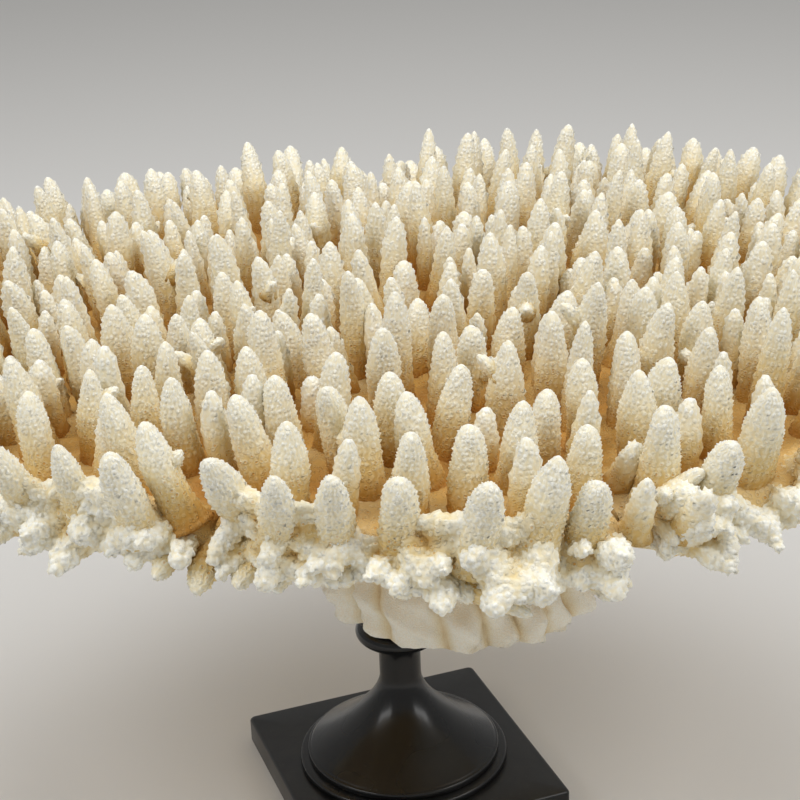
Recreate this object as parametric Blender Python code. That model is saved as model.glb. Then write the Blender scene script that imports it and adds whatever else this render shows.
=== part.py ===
"""Table coral on a turned pedestal, at its real size, in metres, +Z up.

The origin is the centre of the plinth's underside. The colony is a trunk that forks into
seven limbs, each a flat fan of fused branches with upright fingers grown on its top.
The front of the colony faces -Y.
"""

import bpy
import bmesh
import math
import numpy as np
from mathutils.geometry import delaunay_2d_cdt

GAP = 0.0003                    # clearance that touching solids keep

# Pedestal
PLINTH_SIDE = 0.079
PLINTH_HEIGHT = 0.009
PLINTH_YAW = math.radians(19.5)
PLINTH_BEVEL = 0.0012
STEM_TOP = 0.0635
STEM_SIDES = 28
FLANGE_RADIUS = 0.0325
FLARE_RADIUS = 0.0300
NECK_RADIUS = 0.0064
COLLAR_RADIUS = 0.0133
CUP_RADIUS = 0.0145

# Colony: its plan, its levels and its forks
HALF_WIDTH = 0.163              # of the plan ellipse, along X
HALF_DEPTH = 0.140              # of the plan ellipse, along Y
BULGES = (                      # angle and spread in degrees, height in metres
    (108, 30, -0.013),
    (48, 16, 0.008),
    (-50, 14, 0.004),
    (-75, 11, 0.011),
)
LOBES = 38                      # rounded lobes round the rim
LOBE_DEPTH = 0.0075
PLATE_TOP = 0.1545              # top of the plate, where the fingers stand
RIM_DROP = 0.005                # how far the plate's top falls at the rim
BACK_SAG = 0.0032
RIM_THICKNESS = 0.010
HUB_RADIUS = 0.024
HUB_THICKNESS = 0.024
FORKS = (-107.5, -66, -18, 38, 92, 146, 201)      # degrees, where neighbouring limbs part
LIMBS = ("front", "front_right", "right", "back_right", "back_left", "left", "front_left")
CLEFT_WIDTH = 0.006             # opening between two limbs at the rim
CORNER = 0.006                  # how far a limb's rim draws back beside a fork
RIM_STEP = math.radians(2.8)

# Fingers
SEED = 11
FINGER_TRIES = 30000
NEAREST, FARTHEST = 0.0108, 0.0146      # spacing between neighbours, drawn for each
FINGER_SIDES = 5
FINGER_MARGIN = 0.0009          # plate left outside a finger's foot
FRONT_FINGERS = (               # foot x, y; lean in x, y; radius; length: in mm and slopes
    (-45, -118, -0.28, 0.00, 4.6, 24), (-34, -118, -0.28, -0.50, 4.6, 24),
    (-31, -106, -0.26, 0.00, 4.6, 25), (-42, -83, 0.00, 0.00, 4.4, 25),
    (-54, -76, 0.05, 0.00, 4.6, 25), (-30, -81, -0.10, 0.00, 5.0, 25),
    (-24, -96, -0.10, 0.00, 4.6, 24), (-22, -117, 0.00, -0.05, 4.8, 23),
    (-17, -63, -0.20, 0.00, 4.8, 27), (-14, -88, 0.10, 0.00, 4.8, 26),
    (-6, -110, 0.00, 0.00, 5.1, 25), (1, -93, 0.00, -0.10, 4.7, 24),
    (-12, -129, 0.00, -0.40, 4.5, 22), (-24, -127, 0.00, -0.50, 4.6, 23),
    (-55, -121, -0.20, -0.30, 4.7, 22), (-67, -116, -0.20, -0.20, 4.2, 20),
    (-57, -105, -0.25, 0.00, 4.9, 25), (-69, -90, 0.00, 0.00, 4.5, 24),
    (-57, -89, 0.00, 0.00, 4.3, 24), (-71, -72, 0.00, 0.00, 4.6, 25),
    (-80, -98, -0.10, 0.00, 4.5, 23), (8, -105, -0.15, 0.00, 4.9, 24),
    (14, -75, 0.00, 0.00, 4.6, 25), (13, -91, 0.20, 0.00, 4.6, 24),
    (17, -118, 0.05, 0.00, 4.7, 22), (27, -81, 0.10, 0.00, 5.1, 25),
    (36, -97, 0.10, 0.00, 4.4, 20), (28, -109, 0.12, 0.00, 4.9, 23),
    (41, -67, 0.00, 0.00, 4.4, 26), (46, -90, 0.00, 0.00, 4.3, 24),
    (42, -117, 0.12, 0.00, 4.4, 21), (58, -99, 0.00, 0.00, 5.1, 25),
    (58, -78, 0.00, 0.00, 4.9, 25), (31, -133, 0.22, -0.10, 5.2, 24),
    (18, -134, 0.15, -0.35, 4.8, 22), (2, -130, 0.00, -0.30, 4.9, 20),
    (60, -114, 0.06, -0.10, 5.0, 25), (76, -96, 0.05, 0.00, 4.3, 24),
    (71, -115, 0.25, -0.35, 4.6, 20), (42, -129, 0.15, -0.35, 4.9, 18),
    (92, -66, 0.00, 0.00, 4.9, 28),
)


def wrap(angle):
    """An angle brought to between -pi and pi."""
    return (angle + math.pi) % (2 * math.pi) - math.pi


def mean_radius(angle):
    """The rim's radius without its lobes: an ellipse with a few broad bulges."""
    radius = 1 / math.hypot(math.cos(angle) / HALF_WIDTH, math.sin(angle) / HALF_DEPTH)
    for centre, spread, height in BULGES:
        off = math.degrees(wrap(angle - math.radians(centre))) / spread
        radius += height * math.exp(-off * off)
    return radius


def rim_radius(angle):
    """The rim with its rounded lobes, which differ in width."""
    phase = LOBES / 2 * angle + 0.9 * math.sin(2 * angle) + 0.6 * math.sin(5 * angle)
    return mean_radius(angle) + LOBE_DEPTH * (abs(math.sin(phase)) ** 0.7 - 0.75)


def plate_top(x, y):
    """Height of the plate's top: it swells gently, sags at the back and falls at the rim."""
    angle = math.atan2(y, x)
    share = math.hypot(x, y) / mean_radius(angle)
    swell = 0.0022 * math.sin(x / 0.036 + 0.5) * math.cos(y / 0.042)
    sag = share ** 2 * math.cos(2 * (angle - math.radians(115))) * (1 + math.sin(angle)) / 2
    return PLATE_TOP + swell - BACK_SAG * sag - RIM_DROP * share ** 6


def plate_bottom(x, y):
    """Height of the plate's underside: a funnel that is deep at the hub and thin at the rim."""
    radius = math.hypot(x, y)
    share = min(1.0, (radius - HUB_RADIUS) / (mean_radius(math.atan2(y, x)) - HUB_RADIUS))
    depth = RIM_THICKNESS + (HUB_THICKNESS - RIM_THICKNESS) * (1 - max(0.0, share)) ** 1.6
    return plate_top(x, y) - depth


def fork_angle(index, radius):
    """Where fork number index runs at this radius: nearly straight, a little wavy."""
    number = index % len(FORKS)
    return math.radians(FORKS[number]) - 0.021 * math.sin(radius / 0.017 + number)


def cleft(radius, angle):
    """Width of the gap between two limbs: a hair at the hub, a notch at the rim."""
    share = radius / mean_radius(angle)
    return GAP + CLEFT_WIDTH * max(0.0, (share - 0.72) / 0.28) ** 2


def limb_rim(index, angle):
    """The rim of one limb: the colony's rim, drawn back beside the limb's two forks."""
    radius = mean_radius(angle)
    back = 0.0
    for fork in (index, index + 1):
        off = wrap(angle - fork_angle(fork, radius)) / 0.062
        back += math.exp(-off * off)
    return rim_radius(angle) - CORNER * back


def limb_of(x, y):
    """(index of the limb over this point, distance to its nearer fork)."""
    radius, angle = math.hypot(x, y), math.atan2(y, x)
    for index in range(len(LIMBS)):
        start, end = fork_angle(index, radius), fork_angle(index + 1, radius)
        width = (end - start) % (2 * math.pi)
        inside = (angle - start) % (2 * math.pi)
        if inside < width:
            half = cleft(radius, angle) / 2
            return index, radius * math.sin(min(inside, width - inside, 1.5)) - half
    return 0, 0.0


def clear_place(x, y, room):
    """(limb, x, y) after the smallest turn round Z that brings a foot clear of the forks.

    The limb is -1 on the hub, and None where no small turn helps.
    """
    radius, angle = math.hypot(x, y), math.atan2(y, x)
    if radius < HUB_RADIUS - room:
        return -1, x, y
    if radius < HUB_RADIUS + room:
        return None, x, y
    for number in range(19):
        turn = (number + 1) // 2 * (-1) ** number * 0.008
        x, y = radius * math.cos(angle + turn), radius * math.sin(angle + turn)
        limb, to_fork = limb_of(x, y)
        near = min(limb_rim(limb, angle + turn + k * 0.025) for k in (-2, -1, 0, 1, 2))
        if to_fork > room and radius + room < near - 0.0016:
            return limb, x, y
    return None, x, y


def plan_fingers():
    """Every finger of the colony, as a list of dictionaries.

    The fingers at the front have places of their own. Behind them random places are kept
    where they are clear of the fingers already there, of the forks and of the rim. Fingers
    lean outwards more and more towards the rim, and are shorter and stouter there.
    """
    fingers = []
    for x, y, lean_x, lean_y, foot, length in FRONT_FINGERS:
        limb, x, y = clear_place(x / 1000, y / 1000, foot / 1000 + FINGER_MARGIN)
        fingers.append({
            "limb": limb, "foot": (x, y), "radius": foot / 1000, "length": length / 1000,
            "tilt": (lean_x, lean_y), "bend": 0.1,
        })
    rng = np.random.default_rng(SEED)
    reach = max(HALF_WIDTH, HALF_DEPTH) + 0.01
    tries = rng.uniform(-reach, reach, (FINGER_TRIES, 2))
    spacing = rng.uniform(NEAREST, FARTHEST, FINGER_TRIES)
    traits = rng.normal(0, 1, (FINGER_TRIES, 6)).clip(-1.9, 1.9)
    placed = np.array([finger["foot"] for finger in fingers])
    for (x, y), clear, trait in zip(tries, spacing, traits):
        radius, angle = math.hypot(x, y), math.atan2(y, x)
        foot = 0.0047 + 0.0004 * trait[0]
        if radius + foot > rim_radius(angle) or np.hypot(*(placed - (x, y)).T).min() < clear:
            continue
        limb, new_x, new_y = clear_place(x, y, foot + FINGER_MARGIN)
        if limb is None or (new_x, new_y) != (x, y) and np.hypot(
                *(placed - (new_x, new_y)).T).min() < clear:
            continue
        x, y = new_x, new_y
        share = radius / mean_radius(angle)
        edge = min(1.0, max(0.0, (share - 0.80) / 0.17))
        lean = math.radians(3 + 9 * share + 34 * edge * edge)
        fingers.append({
            "limb": limb,
            "foot": (x, y),
            "radius": foot * (1 + 0.10 * edge),
            "length": (0.0265 + 0.0030 * trait[1]) * (1 - 0.26 * edge),
            "tilt": (
                math.sin(lean) * x / radius + 0.075 * trait[2],
                math.sin(lean) * y / radius + 0.075 * trait[3],
            ),
            "bend": 0.16 * trait[4] * (1 - edge) + 0.30 * edge,
        })
        placed = np.vstack([placed, (x, y)])
    return fingers


def finger_axis(finger):
    """Foot, shoulder and tip of a finger's centre line. It bends up as it rises."""
    x, y = finger["foot"]
    tilt_x, tilt_y = finger["tilt"]
    rise = math.sqrt(max(0.1, 1 - tilt_x ** 2 - tilt_y ** 2))
    base = np.array([x, y, plate_top(x, y)])
    way = np.array([tilt_x, tilt_y, rise])
    tip = base + finger["length"] * way
    shoulder = base + 0.58 * finger["length"] * way
    shoulder[:2] += finger["bend"] * 0.12 * finger["length"] * way[:2] / max(0.05, math.hypot(*way[:2]))
    return base, shoulder, tip


def finger_rings(finger):
    """The rings of a finger's surface: its foot on the plate, its shoulder, and its tip."""
    base, shoulder, tip = finger_axis(finger)
    turn = finger["foot"][0] * 900
    angles = [turn + 2 * math.pi * k / FINGER_SIDES for k in range(FINGER_SIDES)]
    foot, ring = [], []
    for a in angles:
        x = base[0] + finger["radius"] * math.cos(a)
        y = base[1] + finger["radius"] * math.sin(a)
        foot.append((x, y, plate_top(x, y)))
        wide = 0.96 * finger["radius"]
        ring.append(tuple(shoulder + np.array([wide * math.cos(a), wide * math.sin(a), 0.0])))
    return foot, ring, tuple(tip)


def add_node(name, vertices, faces, material, smooth_angle=None):
    """A named object from vertices and faces, with its own material."""
    mesh = bpy.data.meshes.new(name)
    mesh.from_pydata([tuple(v) for v in vertices], [], faces)
    mesh.validate()
    if smooth_angle is not None:
        mesh.shade_smooth()
        mesh.set_sharp_from_angle(angle=smooth_angle)
    mesh.materials.append(material)
    node = bpy.data.objects.new(name, mesh)
    bpy.context.scene.collection.objects.link(node)
    return node


def triangulated(loops, holes=(), extra=()):
    """Triangles that fill the first loop of 2-D points, as indices into all the points.

    holes are loops whose inside is left open. extra are single points to pass through.
    """
    points = list(loops) + [p for hole in holes for p in hole] + list(extra)
    edges, start = [], 0
    for count in [len(loops)] + [len(hole) for hole in holes]:
        edges += [(start + k, start + (k + 1) % count) for k in range(count)]
        start += count
    owner = [-1] * len(loops)
    for number, hole in enumerate(holes):
        owner += [number] * len(hole)
    owner += [-1] * len(extra)
    outline = [list(range(len(loops)))]
    found = delaunay_2d_cdt([tuple(p) for p in points], edges, outline, 1, 1e-9)
    made, source = found[0], found[3]
    if len(made) != len(points):
        raise ValueError("the triangulation added or merged points")
    back = [origins[0] for origins in source]
    triangles = []
    for face in found[2]:
        a, b, c = (back[i] for i in face)
        if owner[a] == owner[b] == owner[c] != -1:
            continue
        pa, pb, pc = points[a], points[b], points[c]
        area = (pb[0] - pa[0]) * (pc[1] - pa[1]) - (pc[0] - pa[0]) * (pb[1] - pa[1])
        triangles.append((a, b, c) if area > 0 else (a, c, b))
    return triangles


def grown_solid(name, outline, fingers, rings, floor_points, floor_height, material):
    """A closed solid with fingers grown out of its top.

    outline is the top's edge, counter-clockwise, as 2-D points. rings are the loops of 3-D
    points below it, down to the edge of the underside, which floor_points help to fill.
    """
    count = len(outline)
    vertices = [(x, y, plate_top(x, y)) for x, y in outline]
    feet = [finger_rings(finger) for finger in fingers]
    holes = [[(x, y) for x, y, _ in foot] for foot, _, _ in feet]
    faces = triangulated(outline, holes)
    for foot, _, _ in feet:
        vertices += foot
    for number, (_, ring, tip) in enumerate(feet):
        low = count + number * FINGER_SIDES
        high = len(vertices)
        vertices += ring
        vertices.append(tip)
        for k in range(FINGER_SIDES):
            n = (k + 1) % FINGER_SIDES
            faces.append((low + k, low + n, high + n, high + k))
            faces.append((high + k, high + n, high + FINGER_SIDES))
    above = 0
    for ring in rings:
        below = len(vertices)
        vertices += [tuple(p) for p in ring]
        for k in range(count):
            n = (k + 1) % count
            faces.append((above + k, below + k, below + n, above + n))
        above = below
    edge = [(p[0], p[1]) for p in rings[-1]]
    start = len(vertices)
    vertices += [(x, y, floor_height(x, y)) for x, y in floor_points]
    for a, b, c in triangulated(edge, (), floor_points):
        corner = [above + i if i < count else start + i - count for i in (a, b, c)]
        faces.append((corner[0], corner[2], corner[1]))
    return add_node(name, vertices, faces, material)


def limb_outline(index):
    """The limb's edge seen from above, counter-clockwise, with each point's outward pull.

    It runs out along one fork, round the lobed rim, and back along the next fork. The
    corners between a fork and the rim are rounded off.
    """
    def along_fork(fork, side):
        points = []
        reach = mean_radius(fork_angle(fork, 0.14)) - 0.014
        for share in np.linspace(0.0, 1.0, 9):
            radius = HUB_RADIUS + GAP + share * (reach - HUB_RADIUS)
            angle = fork_angle(fork, radius)
            angle += side * cleft(radius, angle) / 2 / radius
            points.append((radius * math.cos(angle), radius * math.sin(angle)))
        return points

    out = along_fork(index, +1)
    home = along_fork(index + 1, -1)[::-1]
    start = math.atan2(out[-1][1], out[-1][0]) + 0.022
    end = math.atan2(home[0][1], home[0][0]) - 0.022
    width = (end - start) % (2 * math.pi)
    steps = round(width / RIM_STEP)
    rim = []
    for k in range(steps + 1):
        angle = start + width * k / steps
        radius = limb_rim(index, angle)
        rim.append((radius * math.cos(angle), radius * math.sin(angle)))
    a0, a1 = math.atan2(home[-1][1], home[-1][0]), math.atan2(out[0][1], out[0][0])
    turn = (a0 - a1) % (2 * math.pi)
    radius = HUB_RADIUS + GAP
    inner = [(radius * math.cos(a0 - turn * k / 4), radius * math.sin(a0 - turn * k / 4))
             for k in (1, 2, 3)]
    points = out + rim + home + inner
    pull = [0.0] * len(out) + [1.0] * len(rim) + [0.0] * (len(home) + len(inner))
    return points, pull


def pulled(point, amount):
    """A plan point moved towards the colony's centre."""
    radius = math.hypot(*point)
    return (point[0] * (1 - amount / radius), point[1] * (1 - amount / radius))


def make_limb(index, fingers, material):
    """One limb of the colony: a sector of the plate, from the hub to the rim."""
    points, pull = limb_outline(index)
    top = [pulled(p, 0.0012 * w) for p, w in zip(points, pull)]
    middle, bottom = [], []
    for p, w in zip(points, pull):
        low = pulled(p, 0.0045 * w)
        height = plate_top(*p) - 0.45 * RIM_THICKNESS
        if w == 0.0:
            height = (plate_top(*p) + plate_bottom(*p)) / 2
        middle.append((p[0], p[1], height))
        bottom.append((low[0], low[1], plate_bottom(*low)))
    radii = np.linspace(0.042, 0.125, 5)
    first = fork_angle(index, 0.1)
    width = (fork_angle(index + 1, 0.1) - first) % (2 * math.pi)
    inner = []
    for n, radius in enumerate(radii):
        for k in range(1, 2 + n // 2 + 1):
            angle = first + width * k / (2 + n // 2 + 1)
            inner.append((radius * math.cos(angle), radius * math.sin(angle)))
    mine = [f for f in fingers if f["limb"] == index]
    name = "limb_" + LIMBS[index]
    return grown_solid(name, top, mine, [middle, bottom], inner, plate_bottom, material)


def make_trunk(fingers, material):
    """The trunk: the hub where the limbs fork, the waist, and the fluted holdfast.

    Each level is an ellipse: height, half width, half depth, offset along X, fluting and
    slope. The holdfast's skirt slopes down towards the front right, round the stem's cup.
    """
    sides = 33
    levels = (
        (PLATE_TOP - HUB_THICKNESS, HUB_RADIUS, HUB_RADIUS, 0.000, 0.00, 0.00),
        (0.1175, 0.0205, 0.0200, 0.002, 0.03, 0.00),
        (0.1055, 0.0205, 0.0195, 0.004, 0.05, 0.00),
        (0.0955, 0.0260, 0.0235, 0.008, 0.05, 0.00),
        (0.0865, 0.0345, 0.0285, 0.014, 0.05, 0.05),
        (0.0775, 0.0405, 0.0330, 0.0175, 0.05, 0.09),
        (0.0695, 0.0400, 0.0330, 0.0185, 0.06, 0.11),
        (0.0655, 0.0365, 0.0300, 0.0175, 0.06, 0.11),
        (0.0660, 0.0230, 0.0215, 0.007, 0.03, 0.04),
        (STEM_TOP + GAP, 0.0165, 0.0160, 0.002, 0.00, 0.00),
    )
    turns = [2 * math.pi * k / sides for k in range(sides)]
    outline = [(HUB_RADIUS * math.cos(a), HUB_RADIUS * math.sin(a)) for a in turns]
    rings = []
    for height, half_x, half_y, offset, flute, slope in levels:
        ring = []
        for a in turns:
            swing = 1 + flute * math.sin(11 * a + 0.8 * math.sin(3 * a))
            x = offset + half_x * swing * math.cos(a)
            y = half_y * swing * math.sin(a)
            ring.append((x, y, height - slope * (0.9 * (x - offset) - y)))
        rings.append(ring)
    mine = [f for f in fingers if f["limb"] == -1]
    return grown_solid("trunk", outline, mine, rings, (), lambda x, y: 0.0, material)


def stem_profile():
    """The turned stem's outline as (radius, height), from its foot to its cup."""
    foot = PLINTH_HEIGHT + GAP
    points = [(0.0, foot), (FLANGE_RADIUS - 0.0008, foot), (FLANGE_RADIUS, foot + 0.0007)]
    points += [(FLANGE_RADIUS, foot + 0.0015), (FLANGE_RADIUS - 0.0009, foot + 0.0022)]
    points += [(FLARE_RADIUS - 0.0008, foot + 0.0024), (FLARE_RADIUS, foot + 0.0031)]
    points += [(FLARE_RADIUS, foot + 0.0040)]
    low, high = foot + 0.0048, STEM_TOP - 0.0250
    for k in range(8):
        share = (k / 7) ** 1.2
        radius = NECK_RADIUS + (FLARE_RADIUS - 0.0006 - NECK_RADIUS) * (1 - share) ** 1.7
        points.append((radius, low + (high - low) * share))
    points.append((NECK_RADIUS, STEM_TOP - 0.0140))
    waist = NECK_RADIUS + 0.0015
    for k in range(7):
        turn = math.pi * (k / 6 - 0.5)
        radius = waist + (COLLAR_RADIUS - waist) * math.cos(turn)
        points.append((radius, STEM_TOP - 0.0095 + 0.0036 * math.sin(turn)))
    points += [(0.0092, STEM_TOP - 0.0052), (0.0128, STEM_TOP - 0.0039)]
    points += [(CUP_RADIUS, STEM_TOP - 0.0025), (CUP_RADIUS, STEM_TOP - 0.0008)]
    points += [(CUP_RADIUS - 0.0007, STEM_TOP), (0.0, STEM_TOP)]
    return points


def make_stem(material):
    """The stem, turned from one piece: the profile swept round Z."""
    profile = stem_profile()
    vertices, rows = [], []
    for radius, height in profile:
        if radius == 0.0:
            rows.append([len(vertices)])
            vertices.append((0.0, 0.0, height))
            continue
        rows.append(list(range(len(vertices), len(vertices) + STEM_SIDES)))
        for k in range(STEM_SIDES):
            a = 2 * math.pi * k / STEM_SIDES
            vertices.append((radius * math.cos(a), radius * math.sin(a), height))
    faces = []
    for low, high in zip(rows, rows[1:]):
        for k in range(STEM_SIDES):
            n = (k + 1) % STEM_SIDES
            if len(low) == 1:
                faces.append((low[0], high[n], high[k]))
            elif len(high) == 1:
                faces.append((low[k], low[n], high[0]))
            else:
                faces.append((low[k], low[n], high[n], high[k]))
    return add_node("turned_stem", vertices, faces, material, math.radians(40))


def make_plinth(material):
    """The square plinth, with its edges eased by a small bevel."""
    shape = bmesh.new()
    bmesh.ops.create_cube(shape, size=1.0)
    for vertex in shape.verts:
        vertex.co.x *= PLINTH_SIDE
        vertex.co.y *= PLINTH_SIDE
        vertex.co.z = (vertex.co.z + 0.5) * PLINTH_HEIGHT
    mesh = bpy.data.meshes.new("plinth")
    shape.to_mesh(mesh)
    shape.free()
    mesh.materials.append(material)
    node = bpy.data.objects.new("plinth", mesh)
    bpy.context.scene.collection.objects.link(node)
    node.rotation_euler.z = PLINTH_YAW
    bevel = node.modifiers.new("eased_edges", "BEVEL")
    bevel.width = PLINTH_BEVEL
    bevel.segments = 2
    return node


def make_material(name, colour, roughness, coat=0.0):
    """A plain Principled material."""
    material = bpy.data.materials.new(name)
    material.use_nodes = True
    shader = material.node_tree.nodes["Principled BSDF"]
    shader.inputs["Base Color"].default_value = (*colour, 1.0)
    shader.inputs["Roughness"].default_value = roughness
    shader.inputs["Coat Weight"].default_value = coat
    return material


def main():
    for old in list(bpy.data.objects):
        bpy.data.objects.remove(old)
    coral = make_material("coral_skeleton", (0.80, 0.70, 0.53), 0.75)
    stone = make_material("coral_trunk", (0.78, 0.66, 0.54), 0.80)
    lacquer = make_material("black_lacquer", (0.012, 0.012, 0.013), 0.22, coat=0.6)
    wood = make_material("black_plinth", (0.014, 0.014, 0.015), 0.30, coat=0.4)
    make_plinth(wood)
    make_stem(lacquer)
    fingers = plan_fingers()
    make_trunk(fingers, stone)
    for index in range(len(LIMBS)):
        make_limb(index, fingers, coral)
    print(len(fingers), "fingers")


main()
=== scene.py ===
"""Looks of the table coral on its turned pedestal, in metres, +Z up, front towards -Y.

Every shape is worked out as whole numpy arrays. The colony's plan and the pedestal's
profile repeat the named values of the solids, so each piece covers its own solid.
"""

import math

import bpy
import numpy as np
from mathutils import Matrix, Vector


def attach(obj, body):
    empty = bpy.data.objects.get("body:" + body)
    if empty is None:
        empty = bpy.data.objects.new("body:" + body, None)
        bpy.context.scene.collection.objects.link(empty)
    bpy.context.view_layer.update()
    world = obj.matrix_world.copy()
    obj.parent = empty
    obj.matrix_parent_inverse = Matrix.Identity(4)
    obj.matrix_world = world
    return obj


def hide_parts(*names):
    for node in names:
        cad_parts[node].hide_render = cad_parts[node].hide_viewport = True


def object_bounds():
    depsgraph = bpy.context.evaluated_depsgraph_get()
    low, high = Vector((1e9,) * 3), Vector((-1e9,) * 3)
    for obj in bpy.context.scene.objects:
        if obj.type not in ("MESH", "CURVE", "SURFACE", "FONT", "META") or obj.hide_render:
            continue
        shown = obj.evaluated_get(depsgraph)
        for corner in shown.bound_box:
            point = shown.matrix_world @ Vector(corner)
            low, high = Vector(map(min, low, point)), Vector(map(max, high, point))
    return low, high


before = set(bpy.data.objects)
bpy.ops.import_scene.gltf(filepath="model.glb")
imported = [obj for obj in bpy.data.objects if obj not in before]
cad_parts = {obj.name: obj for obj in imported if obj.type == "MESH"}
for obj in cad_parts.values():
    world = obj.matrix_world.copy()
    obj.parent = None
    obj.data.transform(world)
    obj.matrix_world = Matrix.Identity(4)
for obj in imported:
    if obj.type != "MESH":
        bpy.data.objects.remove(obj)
cad_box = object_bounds()

# ------------------------------------------------------------------ values

GAP = 0.0003

PLINTH_SIDE = 0.079
PLINTH_HEIGHT = 0.009
PLINTH_YAW = math.radians(19.5)
STEM_TOP = 0.0635
FLANGE_RADIUS = 0.0325
FLARE_RADIUS = 0.0300
NECK_RADIUS = 0.0064
COLLAR_RADIUS = 0.0133
CUP_RADIUS = 0.0145

HALF_WIDTH = 0.163
HALF_DEPTH = 0.140
BULGES = ((108, 30, -0.013), (48, 16, 0.008), (-50, 14, 0.004), (-75, 11, 0.011))
LOBES = 38
LOBE_DEPTH = 0.0075
PLATE_TOP = 0.1545
RIM_DROP = 0.005
BACK_SAG = 0.0032
RIM_THICKNESS = 0.010
HUB_RADIUS = 0.024
HUB_THICKNESS = 0.024
FORKS = (-107.5, -66, -18, 38, 92, 146, 201)
LIMBS = ("front", "front_right", "right", "back_right", "back_left", "left", "front_left")
CLEFT_WIDTH = 0.006
CORNER = 0.006
FORK_REACH = 0.14               # radius at which a limb's rim begins and ends at its forks
NEAR_LIMBS = (0, 1, 6)          # the limbs by the viewer
CAP_RADIUS = 0.0236             # the trunk's top, which the plates overlap
PLATE_INNER = 0.0222            # radius at which the plates begin
MOUND_HEIGHT, MOUND_SPREAD = 0.0024, 1.45       # about a finger's foot, in its radii
LUMP_HEIGHT, LUMP_SIZE = 0.0007, 0.009          # small unevenness of the plates' top
TOP_SINK = 0.0009               # how far the plates' top lies below the plan's height

SEED = 11
FINGER_TRIES = 30000
NEAREST, FARTHEST = 0.0108, 0.0146
FINGER_MARGIN = 0.0009
FRONT_FINGERS = (               # foot x, y; lean in x, y; radius; length: in mm and slopes
    (-45, -118, -0.28, 0.00, 4.6, 24), (-34, -118, -0.28, -0.50, 4.6, 24),
    (-31, -106, -0.26, 0.00, 4.6, 25), (-42, -83, 0.00, 0.00, 4.4, 25),
    (-54, -76, 0.05, 0.00, 4.6, 25), (-30, -81, -0.10, 0.00, 5.0, 25),
    (-24, -96, -0.10, 0.00, 4.6, 24), (-22, -117, 0.00, -0.05, 4.8, 23),
    (-17, -63, -0.20, 0.00, 4.8, 27), (-14, -88, 0.10, 0.00, 4.8, 26),
    (-6, -110, 0.00, 0.00, 5.1, 25), (1, -93, 0.00, -0.10, 4.7, 24),
    (-12, -129, 0.00, -0.40, 4.5, 22), (-24, -127, 0.00, -0.50, 4.6, 23),
    (-55, -121, -0.20, -0.30, 4.7, 22), (-67, -116, -0.20, -0.20, 4.2, 20),
    (-57, -105, -0.25, 0.00, 4.9, 25), (-69, -90, 0.00, 0.00, 4.5, 24),
    (-57, -89, 0.00, 0.00, 4.3, 24), (-71, -72, 0.00, 0.00, 4.6, 25),
    (-80, -98, -0.10, 0.00, 4.5, 23), (8, -105, -0.15, 0.00, 4.9, 24),
    (14, -75, 0.00, 0.00, 4.6, 25), (13, -91, 0.20, 0.00, 4.6, 24),
    (17, -118, 0.05, 0.00, 4.7, 22), (27, -81, 0.10, 0.00, 5.1, 25),
    (36, -97, 0.10, 0.00, 4.4, 20), (28, -109, 0.12, 0.00, 4.9, 23),
    (41, -67, 0.00, 0.00, 4.4, 26), (46, -90, 0.00, 0.00, 4.3, 24),
    (42, -117, 0.12, 0.00, 4.4, 21), (58, -99, 0.00, 0.00, 5.1, 25),
    (58, -78, 0.00, 0.00, 4.9, 25), (31, -133, 0.22, -0.10, 5.2, 24),
    (18, -134, 0.15, -0.35, 4.8, 22), (2, -130, 0.00, -0.30, 4.9, 20),
    (60, -114, 0.06, -0.10, 5.0, 25), (76, -96, 0.05, 0.00, 4.3, 24),
    (71, -115, 0.25, -0.35, 4.6, 20), (42, -129, 0.15, -0.35, 4.9, 18),
    (92, -66, 0.00, 0.00, 4.9, 28),
)

YOUNG_TRIES = 9000              # places tried for the thinner fingers between the others
STUB_REACH = 0.0165             # fingers by the viewer that are nearer to the rim join it
NODULE = 0.00076                # how far a corallite stands out
CELL = 0.0016                   # spacing of the corallites on the plates' edge
GRADES = (                      # fingers with their foot in front of this Y: corallites round
    (-0.088, 19, 21, 3),        # and along them, and points across each
    (-0.030, 18, 15, 2),
    (1.0, 12, 10, 2),
)
KNOBS = (                       # knobs by the viewer that stand out of the rim: limb, base in
    (0, -10, -122, -8, -92, 0, 12.0, 3.7),      # mm with its depth below the plate's top,
    (0, 2, -126, -8, -88, -5, 11.5, 3.9),       # heading and rise in degrees, length, radius
    (0, 15, -128, -8, -84, -5, 11.5, 3.7),
    (0, 18, -136, -8, -31, -9, 14.0, 2.3),
    (0, 28, -124, -5, -78, 5, 12.5, 4.4),
    (0, 34, -125, -6, -9, -4, 13.0, 3.4),
    (0, 42, -124, -7, -66, -20, 14.5, 3.2),
    (0, 45, -125, -7, -40, -24, 11.0, 2.4),
    (0, -24, -120, -8, -99, -20, 12.0, 3.4),
    (0, -31, -121, -8, -108, -16, 11.0, 3.0),
    (6, -41, -119, -8, -104, -24, 12.5, 3.5),
    (6, -48, -118, -7, -114, -14, 12.0, 2.9),
    (6, -80, -98, -3, -128, 14, 10.5, 3.3),
    (6, -93, -92, -6, -130, 0, 11.0, 3.6),
    (1, 61, -117, 1, -60, 34, 13.5, 5.0),
    (1, 61, -119, 4, -95, 30, 10.0, 2.6),
    (1, 63, -118, 5, -30, 42, 10.0, 2.6),
    (1, 60, -117, -2, -75, -6, 11.5, 2.9),
    (1, 70, -112, -6, -52, 4, 12.0, 3.5),
)
FUSED = ((-92, -79), (-74, -60), (-103, -97), (-128, -120))   # headings of the walled lobes


# ------------------------------------------------------------- colony's plan

def wrap(angle):
    """An angle brought to between -pi and pi."""
    return (angle + math.pi) % (2 * math.pi) - math.pi


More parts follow.
